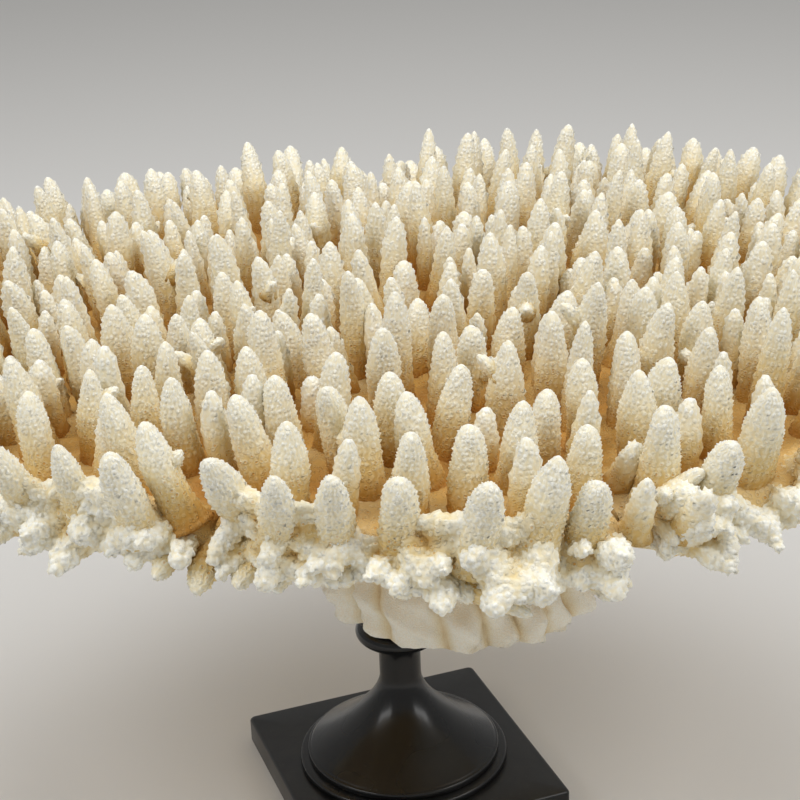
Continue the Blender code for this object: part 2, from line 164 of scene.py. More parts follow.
def mean_radius(angle):
    """The rim without lobes: an ellipse plus a few broad bell-shaped bulges."""
    radius = 1 / np.hypot(np.cos(angle) / HALF_WIDTH, np.sin(angle) / HALF_DEPTH)
    for centre, spread, height in BULGES:
        off = np.degrees(wrap(angle - math.radians(centre))) / spread
        radius = radius + height * np.exp(-off * off)
    return radius


def rim_radius(angle):
    """The mean rim plus rounded lobes: a power of the sine of an uneven phase."""
    phase = LOBES / 2 * angle + 0.9 * np.sin(2 * angle) + 0.6 * np.sin(5 * angle)
    return mean_radius(angle) + LOBE_DEPTH * (np.abs(np.sin(phase)) ** 0.7 - 0.75)


def plate_top(x, y):
    """Height of the plate's top: a base height, a gentle swell, a sag at the back and a
    fall near the rim that goes with the sixth power of the share of the mean radius."""
    angle = np.arctan2(y, x)
    share = np.hypot(x, y) / mean_radius(angle)
    swell = 0.0022 * np.sin(x / 0.036 + 0.5) * np.cos(y / 0.042)
    sag = share ** 2 * np.cos(2 * (angle - math.radians(115))) * (1 + np.sin(angle)) / 2
    return PLATE_TOP + swell - BACK_SAG * sag - RIM_DROP * share ** 6


def plate_bottom(x, y):
    """Height of the underside: the top less a depth that falls from hub to rim."""
    radius = np.hypot(x, y)
    share = (radius - HUB_RADIUS) / (mean_radius(np.arctan2(y, x)) - HUB_RADIUS)
    share = np.clip(share, 0.0, 1.0)
    depth = RIM_THICKNESS + (HUB_THICKNESS - RIM_THICKNESS) * (1 - share) ** 1.6
    return plate_top(x, y) - depth


def fork_angle(index, radius):
    """Where fork number index runs at this radius: its angle plus a small sine."""
    number = index % len(FORKS)
    return math.radians(FORKS[number]) - 0.021 * np.sin(radius / 0.017 + number)


def cleft(radius, angle):
    """Width of the gap between two limbs: a hair, then a notch that widens squared."""
    share = radius / mean_radius(angle)
    return GAP + CLEFT_WIDTH * np.clip((share - 0.72) / 0.28, 0.0, None) ** 2


def limb_rim(index, angle):
    """The rim of one limb: the lobed rim less a bell-shaped draw-back at its two forks."""
    radius = mean_radius(angle)
    back = 0.0
    for fork in (index, index + 1):
        off = wrap(angle - fork_angle(fork, radius)) / 0.062
        back = back + np.exp(-off * off)
    return rim_radius(angle) - CORNER * back


def limb_span(index):
    """(heading of a limb's first fork at the rim, angle from there to its second one)."""
    first = fork_angle(index, FORK_REACH)
    return first, (fork_angle(index + 1, FORK_REACH) - first) % (2 * math.pi)


def limb_of(x, y):
    """(index of the limb over this point, distance to its nearer fork)."""
    radius, angle = math.hypot(x, y), math.atan2(y, x)
    for index in range(len(LIMBS)):
        start, end = fork_angle(index, radius), fork_angle(index + 1, radius)
        width = (end - start) % (2 * math.pi)
        inside = (angle - start) % (2 * math.pi)
        if inside < width:
            half = cleft(radius, angle) / 2
            return index, radius * math.sin(min(inside, width - inside, 1.5)) - half
    return 0, 0.0


def clear_place(x, y, room):
    """(limb, x, y) after the smallest turn round Z that brings a foot clear of the forks."""
    radius, angle = math.hypot(x, y), math.atan2(y, x)
    if radius < HUB_RADIUS - room:
        return -1, x, y
    if radius < HUB_RADIUS + room:
        return None, x, y
    for number in range(19):
        turn = (number + 1) // 2 * (-1) ** number * 0.008
        x, y = radius * math.cos(angle + turn), radius * math.sin(angle + turn)
        limb, to_fork = limb_of(x, y)
        near = min(limb_rim(limb, angle + turn + k * 0.025) for k in (-2, -1, 0, 1, 2))
        if to_fork > room and radius + room < near - 0.0016:
            return limb, x, y
    return None, x, y


def nearest(placed, x, y):
    """Distance from a place to the nearest of the places that are taken."""
    return np.hypot(*(placed - (x, y)).T).min()


def edge_part(share):
    """0 up to 0.80 of the rim's radius, and from there a straight rise to 1 at 0.97."""
    return min(1.0, max(0.0, (share - 0.80) / 0.17))


def plan_fingers():
    """Every finger, as rows of limb, foot x, foot y, radius, length, lean x, lean y, bend.

    The front ones have places of their own. Behind them random places are kept where they
    are clear of their neighbours, of the forks and of the rim. The lean grows with the share
    of the rim's radius, and the last part of it turns the fingers outwards.
    """
    rows = []
    for x, y, lean_x, lean_y, foot, length in FRONT_FINGERS:
        limb, x, y = clear_place(x / 1000, y / 1000, foot / 1000 + FINGER_MARGIN)
        rows.append((limb, x, y, foot / 1000, length / 1000, lean_x, lean_y, 0.1))
    rng = np.random.default_rng(SEED)
    reach = max(HALF_WIDTH, HALF_DEPTH) + 0.01
    tries = rng.uniform(-reach, reach, (FINGER_TRIES, 2))
    spacing = rng.uniform(NEAREST, FARTHEST, FINGER_TRIES)
    traits = rng.normal(0, 1, (FINGER_TRIES, 6)).clip(-1.9, 1.9)
    placed = np.array([row[1:3] for row in rows])
    for (x, y), clear, trait in zip(tries, spacing, traits):
        radius, angle = math.hypot(x, y), math.atan2(y, x)
        foot = 0.0047 + 0.0004 * trait[0]
        if radius + foot > rim_radius(angle) or nearest(placed, x, y) < clear:
            continue
        limb, new_x, new_y = clear_place(x, y, foot + FINGER_MARGIN)
        if limb is None:
            continue
        if (new_x, new_y) != (x, y) and nearest(placed, new_x, new_y) < clear:
            continue
        x, y = new_x, new_y
        share = radius / mean_radius(angle)
        edge = edge_part(share)
        lean = math.radians(3 + 9 * share + 34 * edge * edge)
        rows.append((
            limb, x, y, foot * (1 + 0.10 * edge),
            (0.0265 + 0.0030 * trait[1]) * (1 - 0.26 * edge),
            math.sin(lean) * x / radius + 0.075 * trait[2],
            math.sin(lean) * y / radius + 0.075 * trait[3],
            0.16 * trait[4] * (1 - edge) + 0.30 * edge,
        ))
        placed = np.vstack([placed, (x, y)])
    return np.array(rows)


def plan_young(fingers):
    """Thinner and mostly shorter fingers in the room that the others leave, as more rows.

    Seeded random places are kept where they are 7.4 to 8.8 mm clear of every neighbour, or
    9.8 mm by the viewer, and inside the rim. They lean as their neighbours do.
    """
    rng = np.random.default_rng(SEED + 1)
    reach = max(HALF_WIDTH, HALF_DEPTH) + 0.01
    tries = rng.uniform(-reach, reach, (YOUNG_TRIES, 2))
    clear = rng.uniform(0.0074, 0.0088, YOUNG_TRIES)
    traits = rng.normal(0, 1, (YOUNG_TRIES, 4)).clip(-1.9, 1.9)
    placed = fingers[:, 1:3]
    rows = []
    for (x, y), room, trait in zip(tries, clear, traits):
        radius, angle = math.hypot(x, y), math.atan2(y, x)
        gap = nearest(placed, x, y)
        if y < -0.060 and abs(x) < 0.095 and gap < 0.0098:
            continue
        if radius + 0.010 > rim_radius(angle) or gap < room:
            continue
        limb = limb_of(x, y)[0] if radius > HUB_RADIUS else -1
        share = radius / mean_radius(angle)
        edge = edge_part(share)
        lean = math.radians(3 + 9 * share + 30 * edge * edge)
        rows.append((
            limb, x, y, 0.0037 + 0.0003 * trait[0],
            (0.0212 + 0.0034 * trait[1]) * (1 - 0.22 * edge),
            math.sin(lean) * x / radius + 0.10 * trait[2],
            math.sin(lean) * y / radius + 0.10 * trait[3], 0.2,
        ))
        placed = np.vstack([placed, (x, y)])
    return np.array(rows)


def to_edge(x, y):
    """Distance from a place to the lobed rim, measured along its radius."""
    return rim_radius(np.arctan2(y, x)) - np.hypot(x, y)


# ------------------------------------------------------------- mesh helpers

def sheet_faces(rows, columns, closed):
    """Quads of a grid of rows by columns. A closed grid joins its last column to its
    first. Seen from outside, columns run to the left and rows run up."""
    row = np.arange(rows - 1)[:, None]
    column = np.arange(columns if closed else columns - 1)[None, :]
    after = (column + 1) % columns
    corners = [row * columns + column, row * columns + after,
               (row + 1) * columns + after, (row + 1) * columns + column]
    return np.stack(np.broadcast_arrays(*corners), axis=-1).reshape(-1, 4)


def end_fans(rows, columns):
    """Triangles from a closed grid's first row to the point after its last one, and from
    its last row to the point after that."""
    k = np.arange(columns)
    n = (k + 1) % columns
    far, end = (rows - 1) * columns, np.full(columns, rows * columns)
    return np.concatenate([np.stack([n, k, end], axis=1),
                           np.stack([far + k, far + n, end + 1], axis=1)])


def joined(parts):
    """One set of arrays from several, with the face numbers moved along."""
    result = {"points": [], "quads": [], "triangles": [], "rise": [], "nodule": [], "tone": []}
    start = 0
    for part in parts:
        for key in result:
            moved = part[key] + start if key in ("quads", "triangles") else part[key]
            result[key].append(moved)
        start += len(part["points"])
    return {key: np.concatenate(value) for key, value in result.items()}


def plain(points, quads, triangles, rise, nodule, tone):
    """The arrays of a piece: its surface, and for each point how far up its branch it is, which
    also carries painted shade, how much it is the top of a corallite, where low values get
    painted valley shade, and a slow change of tone."""
    return {"points": points, "quads": quads, "triangles": triangles,
            "rise": rise, "nodule": nodule, "tone": tone}


def tube(points, ends, turned_over=False):
    """Rings of points joined to a closed grid, with a fan to a point at either end. Rings
    that run down, or the other way round, have their faces turned over."""
    rows, columns = points.shape[:2]
    quads, fans = sheet_faces(rows, columns, True), end_fans(rows, columns)
    if turned_over:
        quads, fans = quads[:, ::-1], fans[:, (1, 0, 2)]
    flat = np.vstack([points.reshape(-1, 3), ends])
    ones = np.ones(len(flat))
    return plain(flat, quads, fans, ones, ones, ones)


def within_box(points):
    """Points brought inside the solids' box. The last 1.5 mm before each side are pressed
    together by a hyperbolic tangent, so that no tip is cut off flat."""
    low, high, margin = np.array(cad_box[0]), np.array(cad_box[1]), 0.0015
    low[2] = -1.0
    over = points - (high - margin)
    points = np.where(over > 0, high - margin + margin * np.tanh(over / margin), points)
    under = low + margin - points
    return np.where(under > 0, low + margin - margin * np.tanh(under / margin), points)


def add_piece(name, part, material, slot, *replaced, sharp=None):
    """A smooth-shaded piece from arrays. It rides on the root and stands for its nodes."""
    mesh = bpy.data.meshes.new(name)
    quads, triangles = part["quads"], part["triangles"]
    corners = np.concatenate([quads.ravel(), triangles.ravel()]).astype(np.int32)
    starts = np.concatenate([4 * np.arange(len(quads)),
                             4 * len(quads) + 3 * np.arange(len(triangles))])
    mesh.vertices.add(len(part["points"]))
    mesh.vertices.foreach_set("co", part["points"].astype(np.float32).ravel())
    mesh.loops.add(len(corners))
    mesh.loops.foreach_set("vertex_index", corners)
    mesh.polygons.add(len(starts))
    mesh.polygons.foreach_set("loop_start", starts.astype(np.int32))
    mesh.update(calc_edges=True)
    for key in ("rise", "nodule", "tone"):
        values = np.asarray(part[key], dtype=np.float32)
        mesh.attributes.new(key, "FLOAT", "POINT").data.foreach_set("value", values)
    mesh.shade_smooth()
    if sharp is not None:
        mesh.set_sharp_from_angle(angle=sharp)
    mesh.materials.append(material)
    piece = bpy.data.objects.new(name, mesh)
    bpy.context.scene.collection.objects.link(piece)
    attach(piece, "root")
    if replaced:
        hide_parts(*replaced)


def ripple(x, y, z, size, seed):
    """Smooth lumps between -1 and 1: the mean of six sines along random directions."""
    rng = np.random.default_rng(seed)
    total = 0.0
    for _ in range(6):
        way = rng.normal(size=3)
        way *= 2 * math.pi / size / np.linalg.norm(way) * rng.uniform(0.7, 1.4)
        total = total + np.sin(way[0] * x + way[1] * y + way[2] * z + rng.uniform(0, 6.3))
    return total / 3.2


# ---------------------------------------------------------- grown branches

def nearest_cell(points, size, seed):
    """(distance to the nearest corallite in cells, a random value of that corallite).

    One centre stands at a random place in every cube of a lattice of this size, and every
    point looks at the centres of the 27 cubes round it.
    """
    place = points / size
    cube = np.floor(place)
    best = np.full(len(points), 9.0)
    value = np.zeros(len(points))
    for step in np.ndindex(3, 3, 3):
        at = cube + np.array(step) - 1
        mix = at @ np.array([[127.1, 269.5, 113.5, 71.9], [311.7, 183.3, 271.9, 37.3],
                             [74.7, 246.1, 124.6, 191.1]]) + seed
        chance = np.mod(np.sin(mix) * 43758.5453, 1.0)
        away = np.linalg.norm(at + 0.12 + 0.76 * chance[:, :3] - place, axis=1)
        closer = away < best
        best = np.where(closer, away, best)
        value = np.where(closer, chance[:, 3], value)
    return best, value


def domes(away, own):
    """Height of a corallite from the distance to its centre: a smooth step times its size."""
    share = np.clip((0.74 - away) / 0.50, 0, 1)
    return share * share * (3 - 2 * share) * (0.75 + 0.40 * own)


def grow(branches, around, along, across=0, seed=1):
    """Closed, bullet-shaped branches covered in corallites, all at once.

    branches are rows of base (3), way (3), bend (3), length, radius, bluntness, start.
    A centre line runs from base along way and bows by bend times 4 t (1 - t). The radius is
    the branch's own, times 0.95 - 0.13 t, times the square root of 1 - t to the bluntness,
    plus a flare that fades from the foot, plus a slow wobble round it. Rows crowd together
    towards the tip. There are as many corallites around and along as is said, in staggered
    rings, with that many points across each and two rows of points along it. A corallite is
    a bell across its cell, high on its upper row and low on its lower one, which makes a
    scale that points up. It is pushed out along the normal and up the branch, never further
    than half its cell is wide, and has a size and a place of its own. With no points across
    the branches stay smooth, and around and along count their points.
    """
    rng = np.random.default_rng(seed)
    count = len(branches)
    base, way, bend = branches[:, 0:3], branches[:, 3:6], branches[:, 6:9]
    length, radius, blunt, start = (branches[:, k, None, None] for k in (9, 10, 11, 12))
    way = way / np.linalg.norm(way, axis=1, keepdims=True)
    side = np.cross(way, np.where(np.abs(way[:, 2:3]) > 0.9, (1.0, 0.0, 0.0), (0.0, 0.0, 1.0)))
    side /= np.linalg.norm(side, axis=1, keepdims=True)
    other = np.cross(way, side)
    columns, rows = around * max(across, 1), along * (2 if across else 1)
    row = np.arange(rows)[None, :, None]
    column = np.arange(columns)[None, None, :]
    shift = across * np.array((0.25, 0.0, 0.25, 0.5))[row % 4]
    turn = 2 * math.pi * (column + shift) / columns
    turn = turn + rng.uniform(0, 6.3, (count, 1, 1))
    t = start + (1 - start) * (1 - (1 - row / rows) ** 1.35)
    phase = rng.uniform(0, 6.3, (4, count, 1, 1))
    wobble = 0.055 * np.sin(2 * turn + phase[0] + 4 * t) + 0.045 * np.sin(
        3 * turn + phase[1] - 5 * t) + 0.04 * np.sin(phase[2] + 9 * t)
    inside = np.clip(1 - np.clip(t, 0, 1) ** blunt, 0.0, 1.0)
    flare = 0.42 * np.exp(-(t - start) / 0.085)
    wide = radius * ((0.95 - 0.13 * t) * np.sqrt(inside) * (1 + wobble) + flare)
    ahead = np.gradient(wide.mean(axis=2, keepdims=True), axis=1) / (
        length * np.gradient(np.broadcast_to(t, (count, rows, 1)), axis=1))
    lean = np.clip(-ahead, -0.6, 2.5)
    steep = 1 / np.sqrt(1 + lean * lean)
    radial = np.cos(turn)[..., None] * side[:, None, None, :] + np.sin(turn)[
        ..., None] * other[:, None, None, :]
    points = base[:, None, None, :] + (length * t)[..., None] * way[:, None, None, :]
    points = points + (4 * t * (1 - t))[..., None] * bend[:, None, None, :]
    points = points + wide[..., None] * radial
    nodule = np.full((count, rows, columns), 0.6)
    if across:
        own = rng.uniform(0, 1, (3, count, along, around)).repeat(2, axis=2)
        own = own.repeat(across, axis=3)
        off = (column % across + 0.5) / across - 0.5 - (0.25 if across == 2 else 0)
        bell = np.exp(-((off - 0.30 * (own[1] - 0.5)) / 0.29) ** 2)
        high = np.where(row % 2 == 1, 1.0, 0.10 + 0.35 * own[2])
        nodule = bell * high * (0.45 + 0.75 * own[0])
        grown = (0.62 + 0.5 * np.clip(t * 2.2, 0, 1)) * np.clip((1.08 - t) / 0.16, 0.5, 1)
        tall = np.minimum(NODULE, 0.5 * 2 * math.pi * wide / around)
        push = tall * nodule * grown
        rough = rng.normal(0, 1, push.shape).clip(-2, 2) * 0.00004
        points = points + (push * steep + rough - 0.00015)[..., None] * radial
        points = points + (push * (lean * steep + 0.40))[..., None] * way[:, None, None, :]
    tip = base + branches[:, 9:10] * way * 1.004
    foot = base + (start * length)[:, 0] * way + (4 * start * (1 - start))[:, 0] * bend
    everything = np.concatenate([points.reshape(count, -1, 3), foot[:, None], tip[:, None]],
                                axis=1)
    step = rows * columns + 2
    quads, fans = sheet_faces(rows, columns, True), end_fans(rows, columns)
    offsets = (np.arange(count) * step)[:, None, None]
    rise = np.concatenate([np.broadcast_to(t, (count, rows, columns)).reshape(count, -1),
                           start[:, :, 0], np.ones((count, 1))], axis=1)
    bare = np.clip(1 - to_edge(base[:, :1], base[:, 1:2]) / 0.022, 0, 1)
    rise = rise + (0.62 - 0.62 * rise) * bare
    nodule = np.concatenate([nodule.reshape(count, -1), np.zeros((count, 1)),
                             np.full((count, 1), 0.6)], axis=1)
    tone = np.repeat(rng.uniform(0, 1, count), step)
    return plain(everything.reshape(-1, 3), (quads[None] + offsets).reshape(-1, 4),
                 (fans[None] + offsets).reshape(-1, 3), rise.ravel(), nodule.ravel(), tone)


def branch_rows(base, way, bow, length, radius, blunt, start):
    """Rows for grow(), from arrays or from one number for all branches."""
    numbers = [np.broadcast_to(value, len(base)) for value in (length, radius, blunt, start)]
    return np.column_stack([base, way, np.broadcast_to(bow, (len(base), 3)), *numbers])


def aimed(heading, rise):
    """Unit vectors from their heading round Z and their rise above the horizontal."""
    return np.stack([np.cos(heading) * np.cos(rise), np.sin(heading) * np.cos(rise),
                     np.sin(rise)], axis=1)


def unit_ways(branches):
    """The way of every branch, one long."""
    return branches[:, 3:6] / np.linalg.norm(branches[:, 3:6], axis=1, keepdims=True)


def finger_branches(fingers, seed):
    """Rows for grow() from rows of the plan. A finger starts a little inside the plate.
    The fingers by the viewer are the stoutest: thickness falls with the distance behind."""
    rng = np.random.default_rng(seed)
    x, y, radius, length, lean_x, lean_y, bend = fingers[:, 1:].T
    rise = np.sqrt(np.maximum(0.1, 1 - lean_x ** 2 - lean_y ** 2))
    base = np.stack([x, y, plate_top(x, y)], axis=1)
    way = np.stack([lean_x, lean_y, rise], axis=1)
    real = np.linalg.norm(way, axis=1)
    bow = np.zeros_like(way)
    lean = np.maximum(0.05, np.hypot(lean_x, lean_y))
    bow[:, 0] = bend * 0.12 * length * lean_x / lean
    bow[:, 1] = bend * 0.12 * length * lean_y / lean
    thick = np.interp(y, (-0.11, -0.05, 0.0), (1.0, 0.93, 0.87))
    return branch_rows(base, way, bow, length * real, radius * thick,
                       rng.uniform(2.7, 4.6, len(x)), -0.10)


def side_nubs(branches, share, seed):
    """Rows for grow(): short side branches that leave some fingers a third of the way up
    or higher, turned outwards from the finger and upwards."""
    rng = np.random.default_rng(seed)
    chosen = branches[rng.uniform(size=len(branches)) < share]
    way = unit_ways(chosen)
    turn = rng.uniform(0, 2 * math.pi, len(chosen))
    out = np.stack([np.cos(turn), np.sin(turn), np.zeros(len(chosen))], axis=1)
    out -= way * (out * way).sum(axis=1, keepdims=True)
    height = rng.uniform(0.20, 0.60, len(chosen))
    base = chosen[:, 0:3] + (height * chosen[:, 9])[:, None] * way
    base += 4 * (height * (1 - height))[:, None] * chosen[:, 6:9]
    aim = out + way * rng.uniform(0.5, 1.1, len(chosen))[:, None]
    radius = chosen[:, 10] * rng.uniform(0.46, 0.62, len(chosen))
    length = chosen[:, 10] + rng.uniform(0.0028, 0.0072, len(chosen))
    return branch_rows(base, aim, 0.0, length, radius, rng.uniform(2.4, 3.6, len(chosen)), 0.15)


def rim_branches(index, seed):
    """Rows for grow(): the stubby branches that fuse into the limb's rim.

    They leave the edge in an upper and a lower row some 8 mm apart, point outwards with a
    fan of up to 28 degrees to either side, and end near the lobed rim.
    """
    rng = np.random.default_rng(seed)
    first, width = limb_span(index)
    first, width = first + 0.040, width - 0.080
    rows = []
    for drop, low, high, pitch in ((0.0030, 2, 34, 0.0088), (0.0054, -19, 3, 0.0074)):
        count = int(width * mean_radius(first + width / 2) / pitch)
        angle = first + width * (np.arange(count) + rng.uniform(0.1, 0.9, count)) / count
        radius = rng.uniform(0.0026, 0.0043, count)
        length = rng.uniform(0.012, 0.018, count)
        fan = np.radians(rng.normal(0, 16, count).clip(-30, 30))
        tilt = np.radians(rng.uniform(low, high, count))
        way = aimed(angle + fan, tilt)
        short = rng.uniform(-0.0005, 0.0035, count)
        reach = limb_rim(index, angle) - short - length * np.cos(tilt) * np.cos(fan)
        x, y = reach * np.cos(angle), reach * np.sin(angle)
        base = np.stack([x, y, plate_top(x, y) - drop], axis=1)
        rows.append(branch_rows(base, way, 0.0, length, radius, rng.uniform(2.6, 5.0, count),
                                -0.12))
    return np.concatenate(rows)


def knobs(index):
    """Rows for grow(): the limb's knobs from their table, as base, heading and rise."""
    rows = np.array([row[1:] for row in KNOBS if row[0] == index], float).reshape(-1, 7)
    x, y, depth = rows[:, 0] / 1000, rows[:, 1] / 1000, rows[:, 2] / 1000
    base = np.stack([x, y, plate_top(x, y) + depth], axis=1)
    way = aimed(np.radians(rows[:, 3]), np.radians(rows[:, 4]))
    return branch_rows(base, way, 0.0, rows[:, 5] / 1000, rows[:, 6] / 1000, 3.4, -0.15)


def band(index, along, around):
    """The core of a limb's rim: an ellipse carried along the rim, a little inside it, that
    narrows to a point at both forks as a quarter circle."""
    first, width = limb_span(index)
    share = (np.arange(along) + 0.5)[:, None] / along
    angle = first + 0.030 + (width - 0.060) * share
    phi = 2 * math.pi * np.arange(around)[None, :] / around
    full = np.sqrt(1 - np.abs(2 * share - 1) ** 14)
    middle = limb_rim(index, angle) - 0.0125
    radius = middle + 0.0060 * full * np.cos(phi)
    x, y = radius * np.cos(angle), radius * np.sin(angle)
    z = plate_top(x, y) - 0.0052 + 0.0031 * full * np.sin(phi)
    points = np.stack([x, y, z], axis=-1)
    return tube(points, points[[0, -1]].mean(axis=1), turned_over=True)


def one_skin(part, voxel, rounds):
    """(points, quads, normals, hollow) of closed shells made one skin, its creases softened.

    hollow is how far a point lies below the mean of its neighbourhood, along the normal: the
    places are averaged over their neighbours 14 times, and compared with what they were.
    """
    mesh = bpy.data.meshes.new("shells")
    faces = part["quads"].tolist() + part["triangles"].tolist()
    mesh.from_pydata(part["points"].tolist(), [], faces)
    shells = bpy.data.objects.new("shells", mesh)
    bpy.context.scene.collection.objects.link(shells)
    skin = shells.modifiers.new("skin", "REMESH")
    skin.mode, skin.voxel_size = "VOXEL", voxel
    soften = shells.modifiers.new("soften", "SMOOTH")
    soften.factor, soften.iterations = 0.5, rounds
    made = bpy.data.meshes.new_from_object(
        shells.evaluated_get(bpy.context.evaluated_depsgraph_get()))
    points = np.empty(3 * len(made.vertices), np.float32)
    made.vertices.foreach_get("co", points)
    normals = np.empty(3 * len(made.vertices), np.float32)
    made.vertex_normals.foreach_get("vector", normals)
    quads = np.empty(len(made.loops), np.int32)
    made.loops.foreach_get("vertex_index", quads)
    edges = np.empty(2 * len(made.edges), np.int32)
    made.edges.foreach_get("vertices", edges)
    bpy.data.objects.remove(shells)
    bpy.data.meshes.remove(made)
    points, normals = points.reshape(-1, 3).astype(float), normals.reshape(-1, 3)
    one, two = edges.reshape(-1, 2).T
    count = len(points)
    near = np.bincount(one, minlength=count) + np.bincount(two, minlength=count)
    mean = points.copy()
    for _ in range(14):
        mean = np.stack([(np.bincount(one, mean[two, k], count)
                          + np.bincount(two, mean[one, k], count)) / near for k in range(3)], 1)
    hollow = ((mean - points) * normals).sum(axis=1)
    return points, quads.reshape(-1, 4), normals, hollow


def webs(stubs, seed):
    """Rows for grow(): what fuses the stubs of the rim.

    Stubs less than 19 mm apart are joined low down by a thin branch. Half of them, and all
    at the headings of the photograph's fused lobes, have a wall between them: four branches
    above each other. Every stub has two buttresses that run outwards and down to the edge.
    """
    rng = np.random.default_rng(seed)
    count, way = len(stubs), unit_ways(stubs)
    rows = []
    first, second = np.triu_indices(count, 1)
    gap = np.linalg.norm(stubs[first, 0:2] - stubs[second, 0:2], axis=1)
    first, second = first[gap < 0.019], second[gap < 0.019]
    middle = (stubs[first, 0:2] + stubs[second, 0:2]) / 2
    heading = np.degrees(np.arctan2(middle[:, 1], middle[:, 0]))
    fused = rng.uniform(size=len(first)) < 0.5
    for low, high in FUSED:
        fused |= (heading > low) & (heading < high)
    for height, every in ((-0.06, True), (0.10, False), (0.27, False), (0.42, False)):
        one, two = (first, second) if every else (first[fused], second[fused])
        many = len(one)
        share = height + rng.uniform(-0.05, 0.05, (2, many))
        start = stubs[one, 0:3] + (share[0] * stubs[one, 9])[:, None] * way[one]
        along = stubs[two, 0:3] + (share[1] * stubs[two, 9])[:, None] * way[two] - start
        bow = np.zeros((many, 3))
        bow[:, 2] = rng.uniform(-0.0025, 0.0010, many)
        rows.append(branch_rows(start, along, bow, np.linalg.norm(along, axis=1),
                                rng.uniform(0.0026, 0.0036, many), 9.0, -0.1))
    start = stubs[:, 0:3] + (rng.uniform(0.05, 0.25, count) * stubs[:, 9])[:, None] * way
    for _ in range(2):
        angle = np.arctan2(stubs[:, 1], stubs[:, 0]) + rng.normal(0, 0.050, count)
        reach = rim_radius(angle) - rng.uniform(0.0015, 0.0070, count)
        x, y = reach * np.cos(angle), reach * np.sin(angle)
        aim = np.stack([x, y, plate_top(x, y) - rng.uniform(0.001, 0.0065, count)], axis=1)
        along = aim - start
        rows.append(branch_rows(start, along, 0.0, np.linalg.norm(along, axis=1),
                                rng.uniform(0.0028, 0.0044, count), rng.uniform(3, 7, count),
                                -0.1))
    return np.concatenate(rows)


def rim(index, stubs, voxel, size):
    """One limb's rim: its core, its stubby branches and knobs, the outermost fingers and the
    webs that fuse them, made one skin, with small lumps and with corallites on it.

    A point near a branch's tip is white: that share falls with the distance to the nearest
    tip, in radii of its branch. The walls between are tan, with painted brown shade in their
    hollows and a little painted shade where faces look down. The fingers and knobs by the
    viewer stand out of the skin as scaled branches of their own.
    """
    branches = [rim_branches(index, 400 + index), knobs(index)]
    shells, scaled = [band(index, 110, 20)], []
    if len(branches[1]):
        scaled.append(grow(branches[1], 13, 9, 3, seed=600 + index))
    if len(stubs):
        rows = finger_branches(stubs, 100 + index)
        scaled.append(grow(rows, *GRADES[0][1:], seed=200 + index))
        branches.append(rows)
        shells.append(grow(webs(rows, 500 + index), 12, 8))
    low = len(branches[0])
    branches = np.concatenate(branches)
    thin = branches.copy()
    thin[low:, 9] -= 0.0020
    thin[low:, 10] -= 0.0013
    shells.append(grow(thin, 14, 12, seed=200 + index))
    points, quads, normals, hollow = one_skin(joined(shells), voxel, 6)
    x, y, z = points.T
    angle = np.arctan2(y, x)
    out = np.hypot(x, y) - limb_rim(index, angle)
    above = z - plate_top(x, y)
    ends = branches[:, 0:3] + (branches[:, 9:10] - 0.5 * branches[:, 10:11]) * unit_ways(
        branches)
    away = np.linalg.norm(points[:, None] - ends, axis=2) / branches[:, 10]
    tip = np.clip(1.55 - away.min(axis=1) / 2.0, 0, 1)
    nodule = domes(*nearest_cell(points, size, index))
    push = 0.0005 * ripple(x, y, z, 0.006, index + 40) + 1.25 * NODULE * (nodule - 0.4)
    points = points + push[:, None] * normals
    # Painted shade: faces that look down are a little darker, and the skin's hollows are
    # browner. Further in and low down by the plate the rise is lower too.
    under = np.clip(-normals[:, 2], 0, 1)
    rise = 0.20 + 0.62 * tip - 0.04 * under + 0.10 * np.clip(above / 0.02, 0, 1)
    rise = rise - 0.34 * np.clip(hollow / 0.0011, -0.35, 1)
    rise = rise - 0.20 * np.clip(-(out + 0.012) / 0.008, 0, 1) * np.clip(1 - above / 0.006, 0, 1)
    tone = 0.5 + 0.5 * ripple(x, y, z, 0.03, 60)
    skin = plain(points, quads, np.zeros((0, 3), int), rise, nodule, tone)
    for part in scaled:
        x, y, z = part["points"].T
        under = np.clip((plate_top(x, y) - z) / 0.006, 0, 1)
        part["rise"] = np.clip(part["rise"], 0.40, 1) - 0.15 * under
    return joined([skin] + scaled)


# ------------------------------------------------------------------- plates

def mounds(x, y, feet):
    """A bell about each finger's foot, added up to no more than 1.25."""
    away = np.hypot(x[..., None] - feet[:, 1], y[..., None] - feet[:, 2])
    return np.exp(-(away / (MOUND_SPREAD * feet[:, 3])) ** 2).sum(axis=2).clip(0, 1.25)


